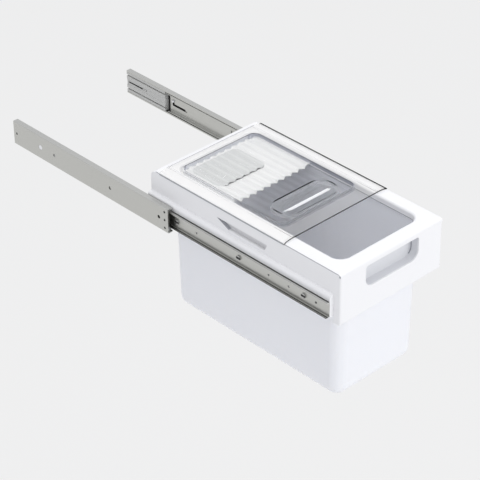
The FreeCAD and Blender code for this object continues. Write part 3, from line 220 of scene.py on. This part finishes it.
# %% Moulded plastics
CLOUD_SIZE, CLOUD_UNEVENNESS = 60.0, 0.05
GRAIN_DEPTH, GRAIN_STRENGTH = 0.04, 0.10
PLASTIC_IOR, SCATTER_RADIUS = 1.5, (1.0, 0.95, 0.9)


def lean_upwards(material, share):
    # A soft translucent sheet evens out its shading, as if its surface faced up more than it does
    faces = add_node(material, "ShaderNodeNewGeometry")
    lifted = add_node(material, "ShaderNodeVectorMath", {0: faces.outputs["Normal"]},
                      operation="ADD")
    lifted.inputs[1].default_value = (0.0, 0.0, share)
    unit = add_node(material, "ShaderNodeVectorMath", {0: lifted.outputs[0]},
                    operation="NORMALIZE")
    return unit.outputs[0]


def moulded_plastic(name, hex_colour, roughness, grain=0.9, scatter=0.0, reach=4.0, lean=0.0):
    # Grain and reach, the depth that scattered light gets to, are in millimetres
    plastic = new_material(name)
    place = add_node(plastic, "ShaderNodeTexCoord").outputs["Object"]
    cloud = noise(plastic, place, CLOUD_SIZE, Detail=1.0)
    shine = spread(plastic, cloud, roughness - CLOUD_UNEVENNESS, roughness + CLOUD_UNEVENNESS)
    relief = add_node(plastic, "ShaderNodeBump",
                      {"Height": noise(plastic, place, grain, Detail=2.0)},
                      Strength=GRAIN_STRENGTH, Distance=GRAIN_DEPTH * MM)
    if lean:
        plastic.node_tree.links.new(lean_upwards(plastic, lean), relief.inputs["Normal"])
    body = add_node(plastic, "ShaderNodeBsdfPrincipled",
                    {"Roughness": shine, "Normal": relief.outputs[0]}, IOR=PLASTIC_IOR)
    body.inputs["Base Color"].default_value = linear(hex_colour)
    body.inputs["Subsurface Weight"].default_value = scatter
    body.inputs["Subsurface Radius"].default_value = SCATTER_RADIUS
    body.inputs["Subsurface Scale"].default_value = reach * MM
    return close(plastic, body)


white_abs = moulded_plastic("white_moulded_abs", "#F3F3F4", roughness=0.38)
pocket_abs = moulded_plastic("light_grey_moulded_abs", "#E0E1E4", roughness=0.42)
grey_pom = moulded_plastic("light_grey_moulded_pom", "#C4C4C1", roughness=0.5, grain=8.0)
cover_pp = moulded_plastic("white_moulded_polypropylene", "#EEEEEC", roughness=0.5, lean=0.5)
mat_rubber = moulded_plastic("light_grey_moulded_rubber", "#D9DAD8", roughness=0.6, grain=0.6,
                             lean=0.5)
# Painted shade for the front of the mat
mat_front_shade = moulded_plastic("painted_shade_on_the_mat_front", "#6E6F70", roughness=0.7)
seam_abs = moulded_plastic("shaded_seam_abs", "#9A9CA0", roughness=0.5)
pocket_shade = moulded_plastic("shaded_corner_abs", "#9799A1", roughness=0.5)
slot_shade = moulded_plastic("shaded_slot_end_abs", "#B2B4BA", roughness=0.5)
# Painted shade for the insides of the finger slot trays
tray_shade = moulded_plastic("painted_shade_in_the_slot_trays", "#E0E0E1", roughness=0.45)
bin_pp = moulded_plastic("translucent_moulded_polypropylene", "#F6F7FB", roughness=0.42,
                         scatter=0.35, reach=5.0)
print("plastics:", white_abs.name, cover_pp.name, mat_rubber.name, bin_pp.name)

# %% [markdown]
# ## Clear polystyrene
# The lid is moulded in clear polystyrene. It refracts what lies under it, so it is a thin closed
# solid with full transmission, and faint flow marks in the moulding disturb its gloss a little.
# Thin clear plastic hardly dims the light that falls through it, so shadow rays and diffuse rays
# pass straight through. The fine ribs of the floor bend the view less, so most of the view goes
# straight through there too. Seen edge-on the plastic looks darker, so the pan's walls get a
# painted grey tint as shade, and the cut edges are painted as dull lines of shade.

# %% Clear polystyrene
FLOW_SIZE, FLOW_DEPTH, FLOW_STRENGTH = 25.0, 0.3, 0.08
HAZE_SIZE, HAZE_LOW, HAZE_HIGH = 6.0, 0.8, 1.0
CLEAR_IOR = 1.45


def clear_plastic(name, hex_colour, roughness=0.02, straight=0.0, transmission=1.0,
                  veil="#FEFEFE"):
    # The straight share of the view isn't bent, only tinted by the veil
    clear = new_material(name)
    place = add_node(clear, "ShaderNodeTexCoord").outputs["Object"]
    relief = add_node(clear, "ShaderNodeBump",
                      {"Height": noise(clear, place, FLOW_SIZE, Detail=2.0)},
                      Strength=FLOW_STRENGTH, Distance=FLOW_DEPTH * MM)
    body = add_node(clear, "ShaderNodeBsdfPrincipled", {"Normal": relief.outputs[0]},
                    IOR=CLEAR_IOR, Roughness=roughness)
    body.inputs["Base Color"].default_value = linear(hex_colour)
    body.inputs["Transmission Weight"].default_value = transmission
    through = add_node(clear, "ShaderNodeBsdfTransparent")
    through.inputs["Color"].default_value = linear(veil)
    ray = add_node(clear, "ShaderNodeLightPath").outputs
    soft = largest(clear, ray["Is Shadow Ray"], ray["Is Diffuse Ray"])
    share = add_node(clear, "ShaderNodeMath", {0: soft}, operation="MAXIMUM")
    share.inputs[1].default_value = straight
    both = add_node(clear, "ShaderNodeMixShader",
                    {0: share.outputs[0], 1: body.outputs[0], 2: through.outputs[0]})
    return close(clear, both)


def edge_shade_paint(name, hex_colour):
    # An edge of clear plastic traps the light, so it is painted as a dull line of shade
    edge = new_material(name)
    place = add_node(edge, "ShaderNodeTexCoord").outputs["Object"]
    shine = spread(edge, noise(edge, place, HAZE_SIZE), HAZE_LOW, HAZE_HIGH)
    body = add_node(edge, "ShaderNodeBsdfDiffuse", {"Roughness": shine})
    body.inputs["Color"].default_value = linear(hex_colour)
    return close(edge, body)


clear_ps = clear_plastic("clear_moulded_polystyrene", "#FFFEFB")
floor_ps = clear_plastic("clear_ribbed_polystyrene", "#FFFFFF", straight=0.92)
# The walls' grey colour and veil are painted shade
wall_ps = clear_plastic("clear_polystyrene_wall", "#D5D7DC", straight=0.92, veil="#E4E5E9")
grip_ps = clear_plastic("clear_polystyrene_grip", "#F6F6F6", roughness=0.25, straight=0.6,
                        veil="#F2F3F4")
# A painted highlight for the front of the grip's finger well
bar_highlight_ps = clear_plastic("polystyrene_with_painted_highlight", "#FFFFFF", roughness=0.6, transmission=0.2)
# Painted shade on the lid's edges: black against the light, grey in the light, pale on white
black_edge = edge_shade_paint("polystyrene_edge_against_the_light", "#2A2B2C")
grey_edge = edge_shade_paint("polystyrene_edge_in_the_light", "#505255")
pale_edge = edge_shade_paint("polystyrene_edge_on_white", "#B4B6B9")
print("clear:", clear_ps.name, floor_ps.name, wall_ps.name, grip_ps.name, bar_highlight_ps.name)

# %% [markdown]
# ## Helpers for meshes
# A finished piece sits at the origin with its place in its mesh and rides on a body of the solid
# model. Solid nodes whose form is already right are copied, merged and given fine round edges,
# because real edges always catch a line of light. Cuts add edges along a plane, and a zone gives
# some faces of a piece another material.

# %% Mesh helpers
SHARP_ANGLE = math.radians(32.0)
MERGE_DISTANCE, FLAT_ANGLE = 0.002, math.radians(0.6)
CUT_DISTANCE = 0.0001
# How far a face's normal leans along an axis, for the tests of the zones
SLIGHTLY, CLEARLY, MOSTLY = 0.2, 0.3, 0.7


def make_piece(name, bm, material, body, replaces=()):
    bmesh.ops.recalc_face_normals(bm, faces=bm.faces[:])
    mesh = bpy.data.meshes.new(name)
    bm.to_mesh(mesh)
    bm.free()
    mesh.materials.append(material)
    for face in mesh.polygons:
        face.use_smooth = True
    mesh.set_sharp_from_angle(angle=SHARP_ANGLE)
    piece = bpy.data.objects.new(name, mesh)
    bpy.context.scene.collection.objects.link(piece)
    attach(piece, body)
    if replaces:
        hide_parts(*replaces)
    return piece


def soft_edges(piece, width, segments=2, material=None):
    bevel = piece.modifiers.new("soft_edges", "BEVEL")
    if material:
        piece.data.materials.append(material)
        bevel.material = len(piece.data.materials) - 1
    bevel.width = width * MM
    bevel.segments = segments
    bevel.limit_method = "ANGLE"
    bevel.angle_limit = SHARP_ANGLE
    bevel.miter_outer = "MITER_ARC"
    weighted = piece.modifiers.new("even_shading", "WEIGHTED_NORMAL")
    weighted.keep_sharp = True


def merged_copy(node):
    bm = bmesh.new()
    bm.from_mesh(frame["nodes"][node].data)
    bmesh.ops.remove_doubles(bm, verts=bm.verts[:], dist=MERGE_DISTANCE * MM)
    bmesh.ops.dissolve_limit(bm, angle_limit=FLAT_ANGLE, verts=bm.verts[:], edges=bm.edges[:])
    return bm


def cut_along(bm, axis, offset):
    point, normal = Vector(), Vector()
    point[axis], normal[axis] = offset * MM, 1.0
    bmesh.ops.bisect_plane(bm, geom=bm.verts[:] + bm.edges[:] + bm.faces[:],
                           dist=CUT_DISTANCE * MM, plane_co=point, plane_no=normal)


def zone(piece, material, belongs):
    # Faces that the test picks, by their middle in millimetres and their normal, get the material
    piece.data.materials.append(material)
    number = len(piece.data.materials) - 1
    for face in piece.data.polygons:
        if belongs(face.center / MM, face.normal):
            face.material_index = number


# %% [markdown]
# ## The slides, the carrier and the bin
# These keep the form of their solids, with their edges rounded as on the real piece: a quarter of
# a millimetre on cut strip, more on mouldings. The punch leaves a small lead-in at the pin holes,
# so they show a little wider than their bore. Balls and springs are round already, and only get
# their material.

# %% Slides, carrier and bin
# Middles of the pin holes, along Y and up Z
PIN_HOLES = {
    "cabinet_member": ((8.0, 7.5), (8.0, 22.5), (8.0, 37.5), (392.0, 22.5)),
    "drawer_member": ((-56.0, 22.5), (-221.0, 22.5), (-265.0, 22.5)),
    "slide_ledge": ((-56.0, 22.5), (-221.0, 22.5), (-265.0, 22.5)),
}
PIN_HOLE_REACH, PIN_HOLE_SHARE = 1.7, 1.3
# Material and width of the round edges for each slot
FINISHES = {
    "zinc_steel": (zinc_steel, 0.25),
    "screw_steel": (screw_steel, 0.2),
    "ball_steel": (ball_steel, 0.0),
    "grey_plastic": (grey_pom, 0.3),
    "damper_metal": (screw_steel, 0.2),
    "white_plastic": (white_abs, 0.8),
    "pocket_plastic": (pocket_abs, 0.5),
    "bin_plastic": (bin_pp, 0.5),
    "clear_plastic": (clear_ps, 0.4),
}
# The carrier's lowest step, 0.5 mm high, leaves room for no rounder edge
NARROW_EDGES = {"carrier_frame": 0.24}
MADE_BELOW = ("lid_frame", "sliding_lid", "lid_grip", "rear_cover", "cover_mat", "handle_pocket")


def widen_pin_holes(bm, spots):
    for along, up in spots:
        for vert in bm.verts:
            y, z = vert.co.y / MM - along, vert.co.z / MM - up
            if math.hypot(y, z) < PIN_HOLE_REACH:
                vert.co.y = (along + y * PIN_HOLE_SHARE) * MM
                vert.co.z = (up + z * PIN_HOLE_SHARE) * MM


def dress(node, material, width):
    bm = merged_copy(node)
    widen_pin_holes(bm, PIN_HOLES.get(node.rsplit("_", 1)[0], ()))
    piece = make_piece(node + "_finished", bm, material, BODY_OF[node], [node])
    soft_edges(piece, width)


for node in sorted(frame["nodes"]):
    finish, width = FINISHES[SLOT_OF[node]]
    width = NARROW_EDGES.get(node, width)
    if node in MADE_BELOW:
        continue
    if width and "spring" not in node:
        dress(node, finish, width)
    else:
        solid = frame["nodes"][node]
        solid.data.materials.clear()
        solid.data.materials.append(finish)
print("dressed", len(frame["nodes"]) - len(MADE_BELOW), "solid nodes")

# %% [markdown]
# ## Shoulders and ribs
# Lid frame and lid both fall away in a soft shoulder along their two long sides. Their copies get
# extra cuts along the shoulder, and every vertex above the seam sinks along a quarter of an
# ellipse: flat at its start, steep at the outer edge. The lid's pan, the cover and the mat share
# one pattern of ribs, each with a long gentle side and a short steep one.

# %% Shoulders and ribs
SHOULDER_START, SHOULDER_STEPS = 97.0, 8
RIB_PITCH, RIB_GENTLE, RIB_RISE, RIB_END = 15.6, 13.0, 4.5, 78.0
CALM_SHARE, PAN_HALF = 0.65, 85.5
# Counts vertices right on a cut as beyond it
TOUCH = 0.01


def sink_shoulders(bm, end, drop, seam):
    reach = end - SHOULDER_START
    for step in range(SHOULDER_STEPS):
        turn = math.radians(90.0 * step / SHOULDER_STEPS)
        for side in (-1, 1):
            cut_along(bm, 0, side * (SHOULDER_START + reach * math.sin(turn)))
    for vert in bm.verts:
        along = min(1.0, max(0.0, (abs(vert.co.x) / MM - SHOULDER_START) / reach))
        if vert.co.z > seam * MM:
            sunk = vert.co.z - drop * MM * (1.0 - math.sqrt(1.0 - along ** 2))
            vert.co.z = max(seam * MM, sunk)


def rib_height(x):
    # Height of the ribs above their lowest line: full at each crest, falling over the gentle side
    if abs(x) >= RIB_END:
        return RIB_RISE
    along = (x + RIB_END) % RIB_PITCH
    if along < RIB_GENTLE:
        return RIB_RISE * (1.0 - along / RIB_GENTLE)
    return RIB_RISE * (along - RIB_GENTLE) / (RIB_PITCH - RIB_GENTLE)


def run_out_ribs(bm, start, end, under):
    # The ribs of the pan's floor rise to one level just before the front wall
    cut_along(bm, 1, start)
    cut_along(bm, 1, end)
    for vert in bm.verts:
        in_pan = vert.co.z < under * MM and abs(vert.co.x) < PAN_HALF * MM
        if in_pan and vert.co.y < (end + TOUCH) * MM:
            vert.co.z += (RIB_RISE - rib_height(vert.co.x / MM)) * MM


def calm_ribs(bm, start):
    # Behind this line the ribs keep about a third of their height; before it they stay full
    cut_along(bm, 1, start)
    for vert in bm.verts:
        if vert.co.y > (start - TOUCH) * MM:
            vert.co.z -= CALM_SHARE * rib_height(vert.co.x / MM) * MM


print("ribs:", round(2 * RIB_END / RIB_PITCH), "of", RIB_PITCH, "mm, up to", RIB_RISE, "mm high")

# %% [markdown]
# ## Lid frame, cover and mat
# The seam under the lid frame's sides and the lower rim of its mouth lie in shade. The teeth of
# the cover's front edge reach a little further forward than on the solid, and a little lower
# between their crests. The mat's front faces and the top of its front part are painted dark grey
# as shade.

# %% Lid frame, cover and mat
FRAME_HALF, FRAME_DROP, FRAME_SEAM = 113.3, 2.2, 86.05
SEAM_SIDE, SEAM_TOP = 113.2, 87.5
RIM_TOP, RIM_HALF, RIM_REAR = 78.8, 88.5, 30.5
COVER_CALM, TEETH_REAR, TEETH_FORWARD, TEETH_DOWN = -95.0, -96.0, 4.0, 0.2
MAT_CALM = -51.5

frame_bm = merged_copy("lid_frame")
sink_shoulders(frame_bm, FRAME_HALF, FRAME_DROP, FRAME_SEAM)
cut_along(frame_bm, 2, RIM_TOP)
lid_frame = make_piece("lid_frame_finished", frame_bm, white_abs, "container",
                       ["lid_frame"])
zone(lid_frame, seam_abs, lambda at, facing:
     abs(at.x) > SEAM_SIDE and at.z < SEAM_TOP and abs(facing.x) > MOSTLY)
zone(lid_frame, seam_abs, lambda at, facing:
     at.z < RIM_TOP and abs(facing.z) < CLEARLY and abs(at.x) < RIM_HALF and at.y < RIM_REAR)
soft_edges(lid_frame, width=0.15)

cover_bm = merged_copy("rear_cover")
calm_ribs(cover_bm, COVER_CALM)
for vert in cover_bm.verts:
    if vert.co.y < TEETH_REAR * MM:
        vert.co.y -= TEETH_FORWARD * MM
        vert.co.z -= TEETH_DOWN * (RIB_RISE - rib_height(vert.co.x / MM)) * MM
cover = make_piece("rear_cover_finished", cover_bm, cover_pp, "container",
                   ["rear_cover"])
soft_edges(cover, width=0.3)

mat_bm = merged_copy("cover_mat")
calm_ribs(mat_bm, MAT_CALM)
mat = make_piece("cover_mat_finished", mat_bm, mat_rubber, "container",
                 ["cover_mat"])
# Painted shade on the mat's front faces and on its top in front of the calm line
zone(mat, mat_front_shade, lambda at, facing:
     facing.y < -CLEARLY or (at.y < MAT_CALM and facing.z > SLIGHTLY))
soft_edges(mat, width=0.1)
print("lid frame, cover and mat:", [len(piece.data.polygons) for piece in (lid_frame, cover, mat)],
      "faces")

# %% [markdown]
# ## The sliding lid
# The pan's floor and walls have clear materials of their own. The lid's front edge and a strip
# along its right side stand against the light and look black. The faces outside that strip and
# the pan's upper rim look grey, and the left edge, seen on white, looks pale.

# %% Sliding lid
LID_HALF, LID_DROP, LID_SEAM, LID_FRONT = 115.3, 5.2, 86.3, -246.0
RIBS_FADE, RIBS_GONE, RIBS_UNDER = -204.0, -208.0, 87.0
FLOOR_TOP, FLOOR_HALF = 86.5, 84.0
WALL_FOOT, WALL_TOP, WALL_HALF, WALL_FRONT = 84.0, 91.3, 86.0, -214.0
PALE_LEFT, STRIP_LEFT, STRIP_RIGHT = -114.8, 110.5, 113.5

lid_bm = merged_copy("sliding_lid")
run_out_ribs(lid_bm, RIBS_FADE, RIBS_GONE, RIBS_UNDER)
sink_shoulders(lid_bm, LID_HALF, LID_DROP, LID_SEAM)
cut_along(lid_bm, 2, WALL_TOP)
lid = make_piece("sliding_lid_finished", lid_bm, clear_ps, "lid",
                 ["sliding_lid"])
zone(lid, floor_ps, lambda at, facing: at.z < FLOOR_TOP and abs(at.x) < FLOOR_HALF)
zone(lid, wall_ps, lambda at, facing:
     WALL_FOOT < at.z < WALL_TOP and abs(facing.z) < CLEARLY and abs(at.x) < WALL_HALF)
zone(lid, grey_edge, lambda at, facing:
     at.z > WALL_TOP and abs(facing.z) < CLEARLY and abs(at.x) < WALL_HALF and at.y > WALL_FRONT)
zone(lid, pale_edge, lambda at, facing: at.x < PALE_LEFT)
zone(lid, grey_edge, lambda at, facing: at.x > STRIP_RIGHT)
zone(lid, black_edge, lambda at, facing:
     STRIP_LEFT < at.x < STRIP_RIGHT or (at.y < LID_FRONT and facing.y < -MOSTLY))
soft_edges(lid, width=0.15)
print("lid:", len(lid.data.polygons), "faces")

# %% [markdown]
# ## The lid's grip
# The grip is a low oval block. Its sides lean inwards a little. The front half of its finger well
# is painted white as a highlight, so it shows as one bright bar. Narrow strips along the edge of
# its top are painted dark as shade, as on every clear edge seen against the light: black at the
# rear and at both ends, grey in front.

# %% Grip
# What lies higher than ABOVE belongs to the flat top
GRIP_MIDDLE, ABOVE = -177.0, 91.2
LEAN_X, LEAN_Y, SIDE_LEAN = 0.97, 0.93, 0.8
WELL_HALF, WELL_FRONT, WELL_REAR, WELL_FLOOR, FLOOR_PLAY = 50.0, -190.5, -169.5, 87.3, 0.1
BAR_REAR, BAR_TOP, BAR_HALF = -179.0, 91.0, 50.5
# Vertices of the well's floor before BAR_LIMIT move close to BAR_MIDDLE, so its front wall slopes
BAR_LIMIT, BAR_MIDDLE, BAR_SHARE = -181.0, -183.0, 0.1
GRIP_CUTS = ((1, BAR_REAR), (1, -152.1), (1, -203.6), (0, -61.5), (0, 61.5))
# Limits of the dark strips, which follow the cuts once the sides lean inwards
TOP_REAR, TOP_FRONT, TOP_END = -153.5, -201.7, 59.7

grip_bm = merged_copy("lid_grip")
for axis, offset in GRIP_CUTS:
    cut_along(grip_bm, axis, offset)
for vert in grip_bm.verts:
    x, y, z = vert.co / MM
    in_well = abs(x) < WELL_HALF and WELL_FRONT < y < WELL_REAR
    if z > ABOVE and not in_well:
        vert.co.x = x * LEAN_X * MM
        vert.co.y = (GRIP_MIDDLE + (y - GRIP_MIDDLE) * LEAN_Y) * MM
    elif in_well and abs(z - WELL_FLOOR) < FLOOR_PLAY and y < BAR_LIMIT:
        vert.co.y = (BAR_MIDDLE + (y - BAR_MIDDLE) * BAR_SHARE) * MM
grip = make_piece("lid_grip_finished", grip_bm, grip_ps, "lid", ["lid_grip"])
zone(grip, floor_ps, lambda at, facing: abs(facing.z) < SIDE_LEAN)
# Painted highlight on the front half of the finger well
zone(grip, bar_highlight_ps, lambda at, facing:
     facing.z > SLIGHTLY and at.z < BAR_TOP and WELL_FRONT < at.y < BAR_REAR
     and abs(at.x) < BAR_HALF)
# Painted shade along the edges of the grip's top
zone(grip, black_edge, lambda at, facing:
     at.z > ABOVE and (at.y > TOP_REAR or abs(at.x) > TOP_END))
zone(grip, grey_edge, lambda at, facing: at.z > ABOVE and at.y < TOP_FRONT)
soft_edges(grip, width=1.4, segments=1, material=black_edge)
print("grip:", len(grip.data.polygons), "faces")

# %% [markdown]
# ## The handle pocket and the finger slots
# The pocket keeps the form of its solid. Its right rear corner lies in deep shade. So does the
# slanted rear end of each finger slot, on the tray and in the carrier's wall. The trays are
# painted light grey as shade.

# %% Handle pocket and finger slots
POCKET_CUT, CORNER_LEFT, CORNER_FRONT, CORNER_REAR = -350.6, 55.0, -350.7, -348.6
SLOT_SIDE, SLOT_FRONT, SLOT_REAR, SLOT_LOW, SLOT_HIGH = 105.0, -125.0, -90.0, 54.0, 67.0

pocket_bm = merged_copy("handle_pocket")
cut_along(pocket_bm, 1, POCKET_CUT)
pocket = make_piece("handle_pocket_finished", pocket_bm, pocket_abs, "drawer",
                    ["handle_pocket"])
zone(pocket, pocket_shade, lambda at, facing:
     at.x > CORNER_LEFT and CORNER_FRONT < at.y < CORNER_REAR and facing.x < -CLEARLY)
soft_edges(pocket, width=0.3)

trays = [bpy.data.objects[f"slot_tray_{word}_finished"] for word in ("left", "right")]
# The trays are painted light grey as shade
for tray in trays:
    tray.data.materials[0] = tray_shade
for piece in trays + [bpy.data.objects["carrier_frame_finished"]]:
    zone(piece, slot_shade, lambda at, facing:
         abs(at.x) > SLOT_SIDE and SLOT_FRONT < at.y < SLOT_REAR and SLOT_LOW < at.z < SLOT_HIGH
         and facing.y < -SLIGHTLY and facing.z > SLIGHTLY)
print("pocket:", len(pocket.data.polygons), "faces, and", len(trays), "finger slots shaded")

# %% [markdown]
# ## Bosses and front pins
# A white boss on each housing fills the large rear hole of the cabinet member, level with the
# steel. A small dark disc sits near the front end of each drawer member.

# %% Bosses and pins
BOSS_PLACE, BOSS_RADIUS, BOSS_DEPTH = (133.3, 327.0, 22.5), 4.3, 1.0
PIN_PLACE, PIN_RADIUS, PIN_DEPTH = (122.6, -324.0, 22.5), 1.9, 0.5
HEAD_SIDES = 32
# Colour of the small dark disc on each drawer member
dark_disc = moulded_plastic("dark_grey_disc", "#3A3A3B", roughness=0.5)


def round_head(name, place, radius, depth, material, body):
    head_bm = bmesh.new()
    turned = Matrix.Translation(Vector(place) * MM) @ Matrix.Rotation(math.radians(90), 4, "Y")
    bmesh.ops.create_cone(head_bm, cap_ends=True, segments=HEAD_SIDES, radius1=radius * MM,
                          radius2=radius * MM, depth=depth * MM, matrix=turned)
    soft_edges(make_piece(name, head_bm, material, body), width=0.1)


for word, side in (("left", -1), ("right", 1)):
    boss_place = (side * BOSS_PLACE[0], *BOSS_PLACE[1:])
    pin_place = (side * PIN_PLACE[0], *PIN_PLACE[1:])
    round_head(f"housing_boss_{word}", boss_place, BOSS_RADIUS, BOSS_DEPTH, white_abs, "cabinet")
    round_head(f"front_pin_{word}", pin_place, PIN_RADIUS, PIN_DEPTH, dark_disc, "drawer")
print("a boss and a pin on each side, of", BOSS_RADIUS, "and", PIN_RADIUS, "mm radius")

# %% [markdown]
# ## Floor and light
# The drawer is photographed against an even pale grey. The floor lies far below the drawer and
# shows that grey to the camera, mixed with a little real shading so that it keeps the object's
# soft shadow. The light is a broad white sky with two large soft lamps, one above and one in
# front. Places and sizes here are in metres.

# %% Floor
BACKGROUND, PAPER, SKY = "#EFEFEF", "#F4F4F4", "#FAFBFF"
PLAIN_SHARE = 0.85
GROUND_HEIGHT, GROUND_SIZE = -0.9, 20.0


def backdrop():
    grey = new_material("pale_paper_backdrop")
    paint = add_node(grey, "ShaderNodeBsdfDiffuse")
    paint.inputs["Color"].default_value = linear(PAPER)
    plain = add_node(grey, "ShaderNodeEmission", Strength=1.0)
    plain.inputs["Color"].default_value = linear(BACKGROUND)
    ray = add_node(grey, "ShaderNodeLightPath").outputs
    seen = largest(grey, ray["Is Camera Ray"], ray["Is Transmission Ray"], ray["Is Glossy Ray"])
    share = add_node(grey, "ShaderNodeMath", {0: seen}, operation="MULTIPLY")
    share.inputs[1].default_value = PLAIN_SHARE
    both = add_node(grey, "ShaderNodeMixShader",
                    {0: share.outputs[0], 1: paint.outputs[0], 2: plain.outputs[0]})
    return close(grey, both)


floor_bm = bmesh.new()
bmesh.ops.create_grid(floor_bm, x_segments=1, y_segments=1, size=GROUND_SIZE,
                      matrix=Matrix.Translation((0, 0, GROUND_HEIGHT)))
floor_mesh = bpy.data.meshes.new("floor")
floor_bm.to_mesh(floor_mesh)
floor_bm.free()
floor_mesh.materials.append(backdrop())
floor = bpy.data.objects.new("floor", floor_mesh)
bpy.context.scene.collection.objects.link(floor)
print("floor at", GROUND_HEIGHT, "m")

# %% Light
world = bpy.data.worlds.new("studio_sky")
world.use_nodes = True
world.node_tree.nodes.clear()
bpy.context.scene.world = world
sky = add_node(world, "ShaderNodeBackground", Strength=0.80)
sky.inputs["Color"].default_value = linear(SKY)
seen_sky = add_node(world, "ShaderNodeBackground", Strength=1.0)
seen_sky.inputs["Color"].default_value = linear(BACKGROUND)
sky_ray = add_node(world, "ShaderNodeLightPath")
sky_mix = add_node(world, "ShaderNodeMixShader",
                   {0: sky_ray.outputs["Is Camera Ray"], 1: sky.outputs[0],
                    2: seen_sky.outputs[0]})
add_node(world, "ShaderNodeOutputWorld", {"Surface": sky_mix.outputs[0]})


def soft_lamp(name, place, target, size, watts):
    lamp_data = bpy.data.lights.new(name, "AREA")
    lamp_data.shape = "RECTANGLE"
    lamp_data.size, lamp_data.size_y = size
    lamp_data.energy = watts
    lamp = bpy.data.objects.new(name, lamp_data)
    bpy.context.scene.collection.objects.link(lamp)
    turn = (Vector(place) - Vector(target)).to_track_quat("Z", "Y").to_matrix()
    lamp.matrix_world = Matrix.Translation(place) @ turn.to_4x4()


soft_lamp("overhead_softbox", place=(0.3, 0.0, 2.6), target=(0.0, -0.1, 0.0), size=(2.4, 2.4),
          watts=24.0)
soft_lamp("front_softbox", place=(0.35, -2.65, 0.9), target=(0.0, -0.2, 0.0), size=(1.6, 1.6),
          watts=16.0)
bpy.context.scene.view_settings.view_transform = "Standard"
print("lamps:", [light.name for light in bpy.data.lights])

# %% Finish
bpy.context.view_layer.update()
